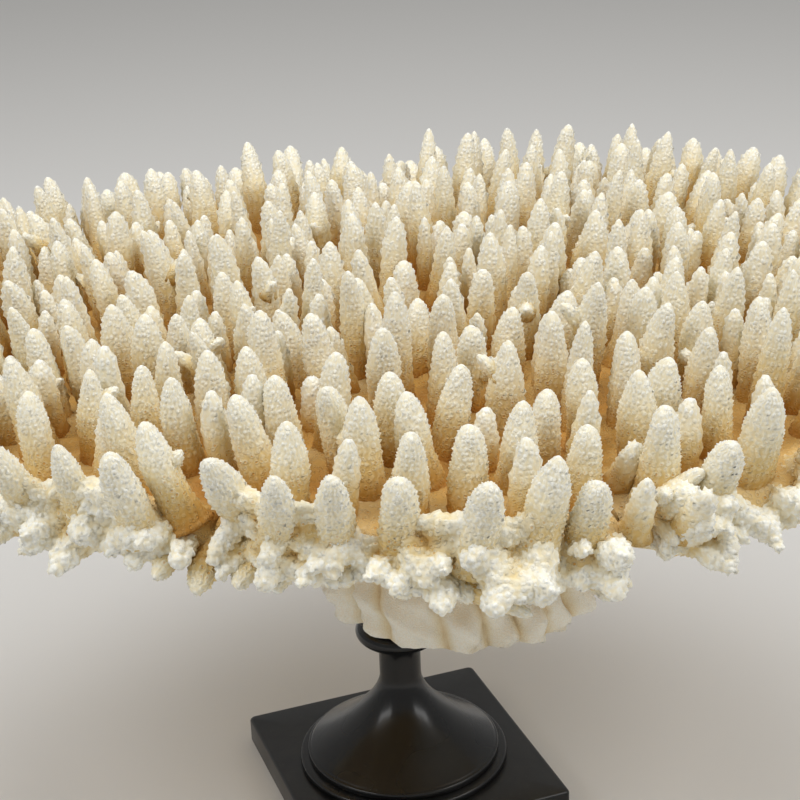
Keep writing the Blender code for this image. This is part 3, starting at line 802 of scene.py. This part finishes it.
def plate(index, feet, across, top_rows, edge_rows):
    """One limb's plate, as a closed profile carried from one fork to the next.

    The profile runs out over the top, round the edge as half an ellipse, back along the
    underside, and up the wall at the hub. The top is the plate's height, plus a mound about
    each finger's foot, plus small lumps. The underside has ribs that fan out and double
    their number half way. Near the edge, corallites stand on a staggered lattice. The
    thickness tapers to the two forks as a quarter circle. Further in than the notches of the
    rim, the plate goes 3 mm past its forks into its neighbours, so that no seam shows.
    """
    wall_rows = 4
    step = 0.0004 / 0.12
    share = np.concatenate([[0, step, 2.2 * step, 4.5 * step],
                            np.linspace(8 * step, 1 - 8 * step, across - 8),
                            [1 - 4.5 * step, 1 - 2.2 * step, 1 - step, 1]])[None, :]
    # Radius of every point: outwards, round the edge, and inwards
    q_out = 1 - (1 - np.linspace(0, 1, top_rows)) ** 1.25
    round_ = math.pi * (np.arange(edge_rows) + 1) / (edge_rows + 1)
    first, width = limb_span(index)
    at_rim = first + share * width
    reach = limb_rim(index, at_rim) - 0.0145
    q = np.concatenate([q_out, np.ones(edge_rows), q_out[::-1], np.zeros(wall_rows)])[:, None]
    lip = np.concatenate([np.zeros(top_rows), np.sin(round_), np.zeros(top_rows + wall_rows)])
    radius = PLATE_INNER + (reach - PLATE_INNER) * q
    start = fork_angle(index, radius)
    end = start + (fork_angle(index + 1, radius) - start) % (2 * math.pi)
    inward = np.clip((0.80 - radius / mean_radius(at_rim)) / 0.10, 0, 1)
    side = cleft(radius, at_rim) / 2 - 0.0007 - 0.0030 * inward
    start, end = start + side / radius, end - side / radius
    angle = start + share * (end - start)
    radius = radius + 0.0046 * lip[:, None]
    x, y = radius * np.cos(angle), radius * np.sin(angle)
    # Heights: top and underside, and the way between them
    at = np.concatenate([np.zeros(top_rows), (1 - np.cos(round_)) / 2, np.ones(top_rows),
                         1 - (np.arange(wall_rows) + 1) / (wall_rows + 1)])[:, None]
    top, bottom = plate_top(x, y), plate_bottom(x, y)
    mound = mounds(x, y, feet)
    close = (1 - at) ** 2
    lumps = ripple(x, y, 0 * x, LUMP_SIZE, 5)
    to_rim = np.clip((radius - reach + 0.020) / 0.020, 0, 1)
    top = top + MOUND_HEIGHT * mound - TOP_SINK + LUMP_HEIGHT * lumps
    fan = wrap(angle - at_rim[0, 0])
    ribs = np.abs(np.sin(9 * fan + 0.7 * ripple(x, y, 0 * x, 0.06, 3)))
    more = np.abs(np.sin(18 * fan + 0.9 * ripple(x, y, 0 * x, 0.04, 4)))
    half = np.clip((radius - 0.07) / 0.03, 0, 1)
    rib = (1 - half) * ribs + half * more
    bottom = bottom + 0.0026 * (rib - 0.35) * np.clip((radius - 0.026) / 0.02, 0, 1) * (
        1 - 0.6 * to_rim) + 0.0006 * ripple(x, y, bottom, 0.012, 7)
    z = top + (bottom - top) * at
    # Taper to the forks
    near = np.minimum(share, 1 - share) * (end - start) * radius
    thin = np.sqrt(np.clip(1 - (1 - np.clip(near / 0.0014, 0, 1)) ** 2, 0.03, 1))
    middle = (top + bottom) / 2 + 0.0015
    z = middle + (z - middle) * thin
    # Corallites round the edge
    v = np.cumsum(np.hypot(np.diff(radius, axis=0, prepend=radius[:1]),
                           np.diff(z, axis=0, prepend=z[:1])), axis=0) / CELL
    tier = np.floor(v)
    u = at_rim * 0.145 / CELL + 0.5 * (tier % 2) + 0.13 * np.sin(tier * 2.1)
    bell = np.exp(-(((u % 1) - 0.5) / 0.3) ** 2 - (((v % 1) - 0.5) / 0.33) ** 2)
    bell = bell * (0.75 + 0.5 * np.sin(np.floor(u) * 12.9 + tier * 78.2))
    grown = to_rim * np.clip(near / 0.003, 0, 1)
    push = 0.0008 * bell * grown
    points = np.stack([x, y, z], axis=-1)
    down = np.gradient(points, axis=0)
    over = np.gradient(points, axis=1)
    normal = np.cross(down, over)
    normal /= np.maximum(1e-12, np.linalg.norm(normal, axis=-1, keepdims=True))
    push = push + 0.0007 * to_rim * ripple(x, y, z, 0.006, index + 40)
    points = points + push[..., None] * normal
    rows, columns = points.shape[:2]
    # Faces: the sheet, the seam along the wall's top, and a strip at each fork
    quads = sheet_faces(rows, columns, False)[:, ::-1]
    j = np.arange(columns - 1)
    last = (rows - 1) * columns
    seam = np.stack([last + j, j, j + 1, last + j + 1], axis=1)
    k = np.arange(rows // 2 - 1)
    ends = []
    for column, flip in ((0, False), (columns - 1, True)):
        strip = np.stack([k + 1, k, rows - 1 - k, rows - 2 - k], axis=1) * columns + column
        ends.append(strip[:, ::-1] if flip else strip)
    quads = np.concatenate([quads, seam] + ends)
    rise = 0.16 * mound * close + 0.12 * to_rim + 0.22 * at
    nodule = np.clip(0.35 + bell * grown + 0.25 * lumps, 0, 1)
    tone = 0.5 + 0.5 * ripple(x, y, z, 0.03, 60)
    return plain(points.reshape(-1, 3), quads, np.zeros((0, 3), int), rise.ravel(),
                 nodule.ravel(), tone.ravel())


# ------------------------------------------------------- trunk and holdfast

def smooth_profile(knots, steps):
    """Rows between knots on a Catmull-Rom curve: each span is the cubic that passes its two
    knots with slopes taken from their neighbours."""
    knots = np.asarray(knots, float)
    padded = np.vstack([2 * knots[0] - knots[1], knots, 2 * knots[-1] - knots[-2]])
    t = (np.arange(steps) / steps)[:, None]
    spans = []
    for a, b, c, d in zip(padded, padded[1:], padded[2:], padded[3:]):
        spans.append(0.5 * (2 * b + (c - a) * t + (2 * a - 5 * b + 4 * c - d) * t ** 2
                            + (3 * b - a - 3 * c + d) * t ** 3))
    return np.vstack(spans + [knots[-1:]])


def trunk(feet):
    """The trunk as rings carried down one profile.

    Each ring is an ellipse with its own height, offset, fluting and slope, as in the solid.
    Fine flutes run down the holdfast: the root of a hundredth plus the square of the sine of
    ten and a half turns, which twists with the height. The skirt's edge hangs down in
    scallops with the same flutes. The top is closed by rings that shrink to a point, and
    carries a mound about each finger's foot.
    """
    levels = (              # height, half width, half depth, offset, fluting, slope
        (PLATE_TOP - 0.0100, CAP_RADIUS, CAP_RADIUS, 0.000, 0.00, 0.00),
        (PLATE_TOP - HUB_THICKNESS, HUB_RADIUS, HUB_RADIUS, 0.000, 0.01, 0.00),
        (0.1175, 0.0205, 0.0200, 0.002, 0.03, 0.00),
        (0.1055, 0.0205, 0.0195, 0.004, 0.05, 0.00),
        (0.0955, 0.0260, 0.0235, 0.008, 0.05, 0.00),
        (0.0865, 0.0345, 0.0285, 0.014, 0.05, 0.05),
        (0.0775, 0.0405, 0.0330, 0.0175, 0.05, 0.09),
        (0.0695, 0.0400, 0.0330, 0.0185, 0.06, 0.11),
        (0.0655, 0.0365, 0.0300, 0.0175, 0.06, 0.11),
        (0.0660, 0.0230, 0.0215, 0.007, 0.03, 0.04),
        (STEM_TOP + GAP, 0.0165, 0.0160, 0.002, 0.00, 0.00),
    )
    columns = 220
    profile = smooth_profile(levels, 6)
    profile[:, 0] = np.maximum(profile[:, 0], STEM_TOP + GAP)
    height, half_x, half_y, offset, flute, slope = (c[:, None] for c in profile.T)
    turn = 2 * math.pi * np.arange(columns)[None, :] / columns
    skirt = np.clip((0.112 - height) / 0.03, 0, 1)
    coarse = np.sin(11 * turn + 0.8 * np.sin(3 * turn))
    fine = np.sqrt(np.sin(10.5 * turn + 0.9 * np.sin(2 * turn + 1) + 0.5 * np.sin(5 * turn)
                          + 14 * (height - 0.07)) ** 2 + 0.01)
    fade = np.clip((height - STEM_TOP) / 0.004, 0, 1)
    low = np.exp(-((height - 0.073) / 0.010) ** 2)
    swing = 1 + 0.6 * flute * coarse + (0.05 + 0.08 * low) * (fine - 0.65) * skirt * fade
    x = offset + half_x * swing * np.cos(turn)
    y = half_y * swing * np.sin(turn)
    z = height - slope * (0.9 * (x - offset) - y) - 0.0026 * (fine - 0.5) * low
    rough = 0.0013 * ripple(x, y, z, 0.009, 21) + 0.0005 * ripple(x, y, z, 0.003, 22)
    rough = rough * np.clip((height - STEM_TOP - 0.0004) / 0.003, 0, 1)
    x, y = x + rough * np.cos(turn), y + rough * np.sin(turn)
    z = np.maximum(z, STEM_TOP + GAP + 0.25 * (height - STEM_TOP - GAP))
    # Top: shrinking rings on the hub
    caps = 14
    shrink = np.linspace(0.04, 0.99, caps)[:, None]
    cap_x, cap_y = CAP_RADIUS * shrink * np.cos(turn), CAP_RADIUS * shrink * np.sin(turn)
    mound = mounds(cap_x, cap_y, feet)
    cap_z = plate_top(cap_x, cap_y) + MOUND_HEIGHT * mound - TOP_SINK - 0.0005 * shrink ** 12
    cap_z = cap_z + LUMP_HEIGHT * ripple(cap_x, cap_y, 0 * cap_x, LUMP_SIZE, 5)
    points = np.concatenate([np.stack([cap_x, cap_y, cap_z], -1), np.stack([x, y, z], -1)])
    part = tube(points, [[0, 0, float(plate_top(0.0, 0.0)) - 0.0006],
                         [offset[-1, 0], 0, STEM_TOP + GAP]], turned_over=True)
    # Painted shade in the flutes: their grooves get a lower rise and a lower nodule, which the
    # material turns into darker colour.
    flank = 0.5 + 0.4 * skirt + 0.75 * (fine - 0.65) * skirt
    crest = fine * skirt + (1 - skirt) * 0.6
    part["rise"] = np.concatenate([(0.16 * mound).ravel(), flank.ravel(), [0.1, 0.5]])
    part["nodule"] = np.concatenate([np.full(caps * columns, 0.4), crest.ravel(), [0.4, 0.4]])
    x, y, z = points.reshape(-1, 3).T
    part["tone"] = np.append(0.5 + 0.5 * ripple(x, y, z, 0.03, 61), [0.5, 0.5])
    return part


# ------------------------------------------------------------------ pedestal

def stem_profile():
    """The turned stem's outline as (radius, height) from its foot to its cup, with its
    rings as arcs and its flare as a power curve."""
    foot = PLINTH_HEIGHT + GAP

    def arc(radius, height, wide, tall, first, last, steps):
        """Part of an ellipse, from angle first to angle last in degrees."""
        angle = np.radians(np.linspace(first, last, steps))
        return np.stack([radius + wide * np.cos(angle), height + tall * np.sin(angle)], 1)

    share = np.linspace(0, 1, 44) ** 1.2
    low, high = foot + 0.0048, STEM_TOP - 0.0250
    flare = np.stack([NECK_RADIUS + (FLARE_RADIUS - 0.0006 - NECK_RADIUS) * (1 - share) ** 1.7,
                      low + (high - low) * share], axis=1)
    waist = NECK_RADIUS + 0.0015
    bead = np.linspace(-0.5, 0.5, 17) * math.pi
    collar = np.stack([waist + (COLLAR_RADIUS - waist) * np.cos(bead),
                       STEM_TOP - 0.0095 + 0.0036 * np.sin(bead)], axis=1)
    return np.vstack([
        [[FLANGE_RADIUS * s, foot] for s in (0.3, 0.7, 0.9)],
        arc(FLANGE_RADIUS - 0.0007, foot + 0.0008, 0.0007, 0.0008, -90, 0, 5),
        arc(FLANGE_RADIUS - 0.0009, foot + 0.0013, 0.0009, 0.0009, 0, 90, 6),
        arc(FLARE_RADIUS - 0.0008, foot + 0.0031, 0.0008, 0.0007, -80, 0, 5),
        arc(FLARE_RADIUS - 0.0008, foot + 0.0040, 0.0008, 0.0008, 5, 90, 6),
        flare[1:],
        [[NECK_RADIUS, STEM_TOP - 0.0180], [NECK_RADIUS, STEM_TOP - 0.0145]],
        [[NECK_RADIUS + 0.0006, STEM_TOP - 0.0135]],
        collar,
        arc(0.0092, STEM_TOP - 0.0042, 0.0034, 0.0012, -70, -10, 5),
        [[0.0136, STEM_TOP - 0.0034]],
        arc(CUP_RADIUS - 0.0007, STEM_TOP - 0.0024, 0.0007, 0.0007, -60, 0, 4),
        arc(CUP_RADIUS - 0.0007, STEM_TOP - 0.0007, 0.0007, 0.0007, 10, 90, 5),
        [[CUP_RADIUS * 0.7, STEM_TOP], [CUP_RADIUS * 0.3, STEM_TOP]],
    ])


def turned(profile, columns=160):
    """A closed solid of revolution: every (radius, height) swept round Z."""
    turn = 2 * math.pi * np.arange(columns)[None, :] / columns
    radius, height = profile[:, 0:1], profile[:, 1:2]
    points = np.stack([radius * np.cos(turn), radius * np.sin(turn), height + 0 * turn], -1)
    return tube(points, [[0, 0, profile[0, 1]], [0, 0, profile[-1, 1]]])


def plinth():
    """The square plinth: rounded squares stacked up a profile whose corners are small arcs.

    A rounded square of half side h and corner c is a circle of radius c moved out to
    h - c towards the nearest corner.
    """
    half, corner, eased = PLINTH_SIDE / 2, 0.0016, 0.0011
    angles = np.linspace(0, math.pi / 2, 7)
    sides = []
    for quarter in range(4):
        turn = angles + quarter * math.pi / 2
        centre = (quarter + 0.5) * math.pi / 2
        cx, cy = (math.copysign(half - corner, f(centre)) for f in (math.cos, math.sin))
        sides.append(np.stack([cx + corner * np.cos(turn), cy + corner * np.sin(turn)], 1))
    ring = np.vstack(sides)
    bend = np.linspace(0, math.pi / 2, 5)
    inset = np.concatenate([[0.030, 0.012], eased * (1 - np.sin(bend)),
                            eased * (1 - np.cos(bend)), [0.012, 0.030]])
    height = np.concatenate([[0, 0], eased * (1 - np.cos(bend)),
                             PLINTH_HEIGHT - eased * (1 - np.sin(bend)),
                             [PLINTH_HEIGHT, PLINTH_HEIGHT]])
    scale = (half - inset) / half
    x = ring[None, :, 0] * scale[:, None]
    y = ring[None, :, 1] * scale[:, None]
    c, s = math.cos(PLINTH_YAW), math.sin(PLINTH_YAW)
    points = np.stack([c * x - s * y, s * x + c * y, height[:, None] + 0 * x], axis=-1)
    return tube(points, [[0, 0, 0], [0, 0, PLINTH_HEIGHT]])


# ----------------------------------------------------------------- materials

def put(tree, kind, sockets=None, **settings):
    """A shader node with its settings, and its sockets given values or links."""
    node = tree.nodes.new(kind)
    for key, value in settings.items():
        setattr(node, key, value)
    for key, value in (sockets or {}).items():
        if isinstance(value, bpy.types.NodeSocket):
            tree.links.new(value, node.inputs[key])
        else:
            node.inputs[key].default_value = value
    return node


def sums(tree, operation, a, b=0.0, clamp=False):
    """The output of a Math node."""
    return put(tree, "ShaderNodeMath", {0: a, 1: b}, operation=operation,
               use_clamp=clamp).outputs[0]


def plus(tree, a, b, clamp=False):
    """The output of a node that adds."""
    return sums(tree, "ADD", a, b, clamp)


def less(tree, a, b, clamp=False):
    """The output of a node that takes b from a."""
    return sums(tree, "SUBTRACT", a, b, clamp)


def times(tree, a, b, clamp=False):
    """The output of a node that multiplies."""
    return sums(tree, "MULTIPLY", a, b, clamp)


def blend_colour(tree, share, a, b, kind="MIX"):
    """The output of a Mix node for colours."""
    node = put(tree, "ShaderNodeMix", data_type="RGBA", blend_type=kind)
    for key, value in ((0, share), (6, a), (7, b)):
        if isinstance(value, bpy.types.NodeSocket):
            tree.links.new(value, node.inputs[key])
        else:
            node.inputs[key].default_value = value if key == 0 else (*value, 1.0)
    return node.outputs[2]


def stretch(tree, value, low, high, new_low=0.0, new_high=1.0):
    """A smooth, clamped change of range."""
    return put(tree, "ShaderNodeMapRange", {
        "Value": value, "From Min": low, "From Max": high, "To Min": new_low,
        "To Max": new_high}, interpolation_type="SMOOTHSTEP").outputs["Result"]


def new_group(name, inputs, outputs):
    """An empty node group with its named inputs and outputs."""
    group = bpy.data.node_groups.new(name, "ShaderNodeTree")
    for label, kind, value in inputs:
        socket = group.interface.new_socket(name=label, in_out="INPUT", socket_type=kind)
        if value is not None:
            socket.default_value = value
    for label, kind in outputs:
        group.interface.new_socket(name=label, in_out="OUTPUT", socket_type=kind)
    return group, group.nodes.new("NodeGroupInput"), group.nodes.new("NodeGroupOutput")


def coral_grain():
    """Relief and stain of bare coral from Object coordinates: a fine chalky grain, and cells
    that can be read as domes, or as ring cups with a pit in each, and broad stains."""
    group, given, result = new_group(
        "coral_grain",
        [("Vector", "NodeSocketVector", None), ("Cup Scale", "NodeSocketFloat", 640.0),
         ("Grain Scale", "NodeSocketFloat", 2300.0)],
        [(label, "NodeSocketFloat")
         for label in ("Grain", "Dome", "Ring", "Pit", "Valley", "Stain")])
    place = given.outputs["Vector"]
    grain = put(group, "ShaderNodeTexNoise", {"Vector": place, "Scale": given.outputs[
        "Grain Scale"], "Detail": 1.5, "Roughness": 0.6})
    cells = put(group, "ShaderNodeTexVoronoi", {"Vector": place, "Scale": given.outputs[
        "Cup Scale"], "Randomness": 0.8})
    away = cells.outputs["Distance"]
    ring = sums(group, "ABSOLUTE", less(group, away, 0.37))
    stain = put(group, "ShaderNodeTexNoise", {"Vector": place, "Scale": 38.0, "Detail": 3.0,
                                              "Roughness": 0.55})
    group.links.new(grain.outputs["Fac"], result.inputs["Grain"])
    group.links.new(stretch(group, away, 0.62, 0.10), result.inputs["Dome"])
    group.links.new(stretch(group, ring, 0.20, 0.0), result.inputs["Ring"])
    chance = put(group, "ShaderNodeSeparateColor", {0: cells.outputs["Color"]}).outputs[0]
    pit = times(group, stretch(group, away, 0.30, 0.12), stretch(group, chance, 0.35, 0.65))
    group.links.new(pit, result.inputs["Pit"])
    group.links.new(stretch(group, away, 0.42, 0.66), result.inputs["Valley"])
    group.links.new(stain.outputs["Fac"], result.inputs["Stain"])
    return group


def settled_dust():
    """Wear of the lacquer from Object coordinates: dust that lies where faces look up,
    broad smudges, and tiny specks."""
    group, given, result = new_group(
        "settled_dust",
        [("Vector", "NodeSocketVector", None), ("Normal", "NodeSocketVector", None),
         ("Amount", "NodeSocketFloat", 0.3)],
        [(label, "NodeSocketFloat") for label in ("Dust", "Smudge", "Ripple")])
    place = given.outputs["Vector"]
    up = put(group, "ShaderNodeSeparateXYZ", {0: given.outputs["Normal"]}).outputs[2]
    cloud = put(group, "ShaderNodeTexNoise", {"Vector": place, "Scale": 55.0, "Detail": 4.0,
                                              "Roughness": 0.6})
    specks = put(group, "ShaderNodeTexVoronoi", {"Vector": place, "Scale": 420.0,
                                                 "Randomness": 1.0})
    speck = stretch(group, specks.outputs["Distance"], 0.16, 0.05)
    lying = stretch(group, up, 0.2, 1.0)
    dust = times(group, times(group, lying, given.outputs["Amount"]),
                 plus(group, stretch(group, cloud.outputs["Fac"], 0.35, 0.7, 0.2, 0.8),
                      times(group, speck, 0.8)), clamp=True)
    broad = put(group, "ShaderNodeTexNoise", {"Vector": place, "Scale": 26.0, "Detail": 2.0})
    wave = put(group, "ShaderNodeTexNoise", {"Vector": place, "Scale": 140.0, "Detail": 2.0})
    group.links.new(dust, result.inputs["Dust"])
    group.links.new(stretch(group, broad.outputs["Fac"], 0.3, 0.7), result.inputs["Smudge"])
    group.links.new(wave.outputs["Fac"], result.inputs["Ripple"])
    return group


def start_material(name):
    """A material with only its Principled shader and its output."""
    material = bpy.data.materials.new(name)
    material.use_nodes = True
    tree = material.node_tree
    return material, tree, tree.nodes["Principled BSDF"]


def ramp(tree, value, stops):
    """A colour ramp through (place, colour) stops."""
    node = put(tree, "ShaderNodeValToRGB", {0: value})
    elements = node.color_ramp.elements
    while len(elements) < len(stops):
        elements.new(0.5)
    for element, (place, colour) in zip(elements, stops):
        element.position = place
        element.color = (*colour, 1.0)
    return node.outputs[0]


def coral_material(name, grain, stops, valley_shade, pit_colour, cup_scale, relief,
                   pit_share=0.75, stain_colour=(0.62, 0.44, 0.24)):
    """Coral skeleton: creamy white where it rises and tan below. High up its corallites are
    domes with painted yellow shade in the valleys between them. Low down they are rings round
    orange pits, with painted shade outside the rings that leaves them pale."""
    material, tree, shader = start_material(name)
    place = put(tree, "ShaderNodeTexCoord")
    rise = put(tree, "ShaderNodeAttribute", attribute_name="rise").outputs["Fac"]
    nodule = put(tree, "ShaderNodeAttribute", attribute_name="nodule").outputs["Fac"]
    tone = put(tree, "ShaderNodeAttribute", attribute_name="tone").outputs["Fac"]
    stone = put(tree, "ShaderNodeGroup", node_tree=grain)
    tree.links.new(place.outputs["Object"], stone.inputs["Vector"])
    stone.inputs["Cup Scale"].default_value = cup_scale
    lifted = plus(tree, rise, times(tree, less(tree, tone, 0.5), 0.14))
    lifted = plus(tree, lifted, times(tree, less(tree, stone.outputs["Stain"], 0.5), 0.26))
    colour = ramp(tree, lifted, stops)
    dome, hollow = stone.outputs["Dome"], stone.outputs["Valley"]
    low = stretch(tree, lifted, 0.74, 0.30)
    high = less(tree, 1.0, low)
    # Painted shade: the colour is multiplied by the valley colour in the dips between the
    # corallites' domes, in the cells' valleys high up, and outside the rings low down, which
    # leaves the rings pale.
    sunk = less(tree, 1.0, stretch(tree, nodule, 0.0, 0.6), clamp=True)
    between = less(tree, 1.0, stone.outputs["Ring"], clamp=True)
    shade = plus(tree, times(tree, sunk, stretch(tree, low, 0.0, 1.0, 0.34, 0.60)),
                 plus(tree, times(tree, times(tree, hollow, high), 0.30),
                      times(tree, times(tree, between, low), 0.45)), clamp=True)
    colour = blend_colour(tree, shade, colour, valley_shade, "MULTIPLY")
    stained = times(tree, stretch(tree, stone.outputs["Stain"], 0.56, 0.74), 0.25)
    colour = blend_colour(tree, times(tree, stained, low), colour, stain_colour)
    dark = times(tree, stone.outputs["Pit"],
                 plus(tree, times(tree, low, pit_share), 0.05), clamp=True)
    colour = blend_colour(tree, dark, colour, pit_colour)
    tree.links.new(colour, shader.inputs["Base Color"])
    tree.links.new(stretch(tree, stone.outputs["Grain"], 0.2, 0.8, 0.62, 0.88),
                   shader.inputs["Roughness"])
    rings = less(tree, times(tree, stone.outputs["Ring"], 0.7),
                 times(tree, stone.outputs["Pit"], 0.4))
    height = plus(tree, times(tree, rings, low), times(tree, dome, high))
    height = plus(tree, height, times(tree, stone.outputs["Grain"], 0.30))
    bump = put(tree, "ShaderNodeBump", {"Height": height, "Strength": 0.9, "Distance": relief})
    tree.links.new(bump.outputs["Normal"], shader.inputs["Normal"])
    shader.inputs["Specular IOR Level"].default_value = 0.14
    return material


def lacquer_material(name, dust, roughness, amount):
    """Black lacquer over turned wood: glossy, a little uneven, with dust that lies on it."""
    material, tree, shader = start_material(name)
    place = put(tree, "ShaderNodeTexCoord")
    normal = put(tree, "ShaderNodeNewGeometry").outputs["Normal"]
    lying = put(tree, "ShaderNodeGroup", node_tree=dust)
    tree.links.new(place.outputs["Object"], lying.inputs["Vector"])
    tree.links.new(normal, lying.inputs["Normal"])
    lying.inputs["Amount"].default_value = amount
    colour = blend_colour(tree, lying.outputs["Dust"], (0.0040, 0.0040, 0.0043),
                          (0.30, 0.30, 0.29))
    tree.links.new(colour, shader.inputs["Base Color"])
    rough = plus(tree, stretch(tree, lying.outputs["Smudge"], 0.0, 1.0, roughness,
                               roughness + 0.09),
                 times(tree, lying.outputs["Dust"], 0.5), clamp=True)
    tree.links.new(rough, shader.inputs["Roughness"])
    bump = put(tree, "ShaderNodeBump", {"Height": lying.outputs["Ripple"], "Strength": 0.25,
                                        "Distance": 0.0001})
    tree.links.new(bump.outputs["Normal"], shader.inputs["Normal"])
    shader.inputs["Coat Weight"].default_value = 0.15
    shader.inputs["Specular IOR Level"].default_value = 0.38
    shader.inputs["Coat Roughness"].default_value = 0.12
    return material


# ------------------------------------------------------------ camera, lights

def stage():
    """The camera at the photograph's angle, a pale floor and soft pale studio lights."""
    lens = bpy.data.cameras.new("camera")
    lens.sensor_width, lens.lens = 36.0, 81.0
    camera = bpy.data.objects.new("camera", lens)
    bpy.context.scene.collection.objects.link(camera)
    camera.matrix_world = (Matrix.Translation(Vector((0.0031, -0.480, 0.3335)))
                           @ Matrix.Rotation(math.radians(90 - 23.0), 4, "X")
                           @ Matrix.Rotation(math.radians(-2.2), 4, "Z"))
    bpy.context.scene.camera = camera
    bpy.context.scene.view_settings.view_transform = "Standard"
    mesh = bpy.data.meshes.new("floor")
    mesh.from_pydata([(-4, -4, 0), (4, -4, 0), (4, 4, 0), (-4, 4, 0)], [], [(0, 1, 2, 3)])
    floor = bpy.data.objects.new("floor", mesh)
    bpy.context.scene.collection.objects.link(floor)
    material, _, shader = start_material("pale_floor")
    shader.inputs["Base Color"].default_value = (0.70, 0.69, 0.67, 1.0)
    shader.inputs["Roughness"].default_value = 0.7
    mesh.materials.append(material)
    world = bpy.data.worlds.new("studio")
    world.use_nodes = True
    world.node_tree.nodes["Background"].inputs[0].default_value = (1.0, 0.995, 0.98, 1.0)
    world.node_tree.nodes["Background"].inputs[1].default_value = 0.36
    bpy.context.scene.world = world
    lights = (              # name, place, aim, size, watts
        ("key", (-0.70, -0.45, 0.95), (0, 0, 0.14), 0.60, 5.4),
        ("second", (0.75, -0.35, 0.90), (0, 0, 0.14), 0.60, 5.4),
        ("overhead", (0.0, 0.10, 1.20), (0, 0, 0.15), 0.90, 5.8),
    )
    for name, place, aim, size, watts in lights:
        light = bpy.data.lights.new(name, "AREA")
        light.shape, light.size, light.energy = "SQUARE", size, watts
        lamp = bpy.data.objects.new(name, light)
        lamp.location = place
        lamp.rotation_euler = (Vector(aim) - Vector(place)).to_track_quat("-Z", "Y").to_euler()
        bpy.context.scene.collection.objects.link(lamp)


# ---------------------------------------------------------------------- make

def finger_piece(index, mine, thin):
    """A limb's or the trunk's fingers: coarser corallites further from the viewer, nubs on
    some of them, and the thinner fingers between."""
    parts = []
    behind = -1.0
    for front, around, along, across in GRADES:
        grade = (mine[:, 2] >= behind) & (mine[:, 2] < front)
        behind = front
        if not grade.any():
            continue
        stems = finger_branches(mine[grade], 100 + index)
        parts.append(grow(stems, around, along, across, seed=200 + index))
        nubs = side_nubs(stems, 0.34 if around > 12 else 0.14, 300 + index)
        if len(nubs):
            parts.append(grow(nubs, around // 2, along // 3, across, seed=210 + index))
    if len(thin):
        parts.append(grow(finger_branches(thin, 110 + index), 9, 7, 2, seed=220 + index))
    return joined(parts)


def main():
    """Stage, materials, the stand's two pieces, and the coral's pieces limb by limb."""
    stage()
    grain, dust = coral_grain(), settled_dust()
    dark_stops = ((0.0, (0.46, 0.23, 0.06)), (0.14, (0.60, 0.39, 0.14)))
    stops = dark_stops + ((0.33, (0.76, 0.63, 0.38)), (0.58, (0.86, 0.81, 0.65)),
                          (0.84, (0.885, 0.88, 0.81)))
    pale_stops = dark_stops + ((0.33, (0.70, 0.54, 0.33)), (0.55, (0.90, 0.83, 0.64)),
                               (0.90, (0.97, 0.95, 0.85)))
    # The colour of the painted shade in the valleys between corallites, and the colour of the
    # pits.
    valley_shade, pit = (0.90, 0.78, 0.52), (0.62, 0.30, 0.06)
    branch = coral_material("coral_branch", grain, stops, valley_shade, pit, 820.0, 0.00020)
    crust = coral_material("coral_rim", grain, stops, valley_shade, pit, 720.0, 0.00026)
    # The holdfast's painted shade, in the grooves of its flutes, is a paler tan.
    base = coral_material("coral_holdfast", grain, pale_stops, (0.87, 0.76, 0.59),
                          (0.62, 0.38, 0.22), 1900.0, 0.00014, pit_share=0.10,
                          stain_colour=(0.64, 0.44, 0.27))
    stem = lacquer_material("black_lacquer", dust, 0.22, 0.035)
    wood = lacquer_material("black_plinth", dust, 0.30, 0.05)
    add_piece("stem_turning", turned(stem_profile()), stem, "black_lacquer", "turned_stem",
              sharp=math.radians(50))
    add_piece("plinth_block", plinth(), wood, "black_lacquer", "plinth",
              sharp=math.radians(60))
    fingers = plan_fingers()
    young = plan_young(fingers)
    everyone = np.vstack([fingers, young])
    for index in range(-1, len(LIMBS)):
        mine, thin = (rows[rows[:, 0] == index] for rows in (fingers, young))
        fine = index in NEAR_LIMBS
        stub = (to_edge(mine[:, 1], mine[:, 2]) < STUB_REACH) & fine
        made = finger_piece(index, mine[~stub], thin)
        if index < 0:
            add_piece("trunk_core", trunk(everyone), base, "coral_trunk", "trunk")
            add_piece("trunk_fingers", made, branch, "coral", "trunk")
            continue
        node = "limb_" + LIMBS[index]
        voxel, size = (0.00074, 0.00130) if fine else (0.00115, 0.0020)
        for kind, part, material in (
                ("fingers", made, branch),
                ("rim", rim(index, mine[stub], voxel, size), crust),
                ("plate", plate(index, everyone, 56, 20, 4), crust)):
            part["points"] = within_box(part["points"])
            add_piece(f"{node}_{kind}", part, material, "coral", node)


main()
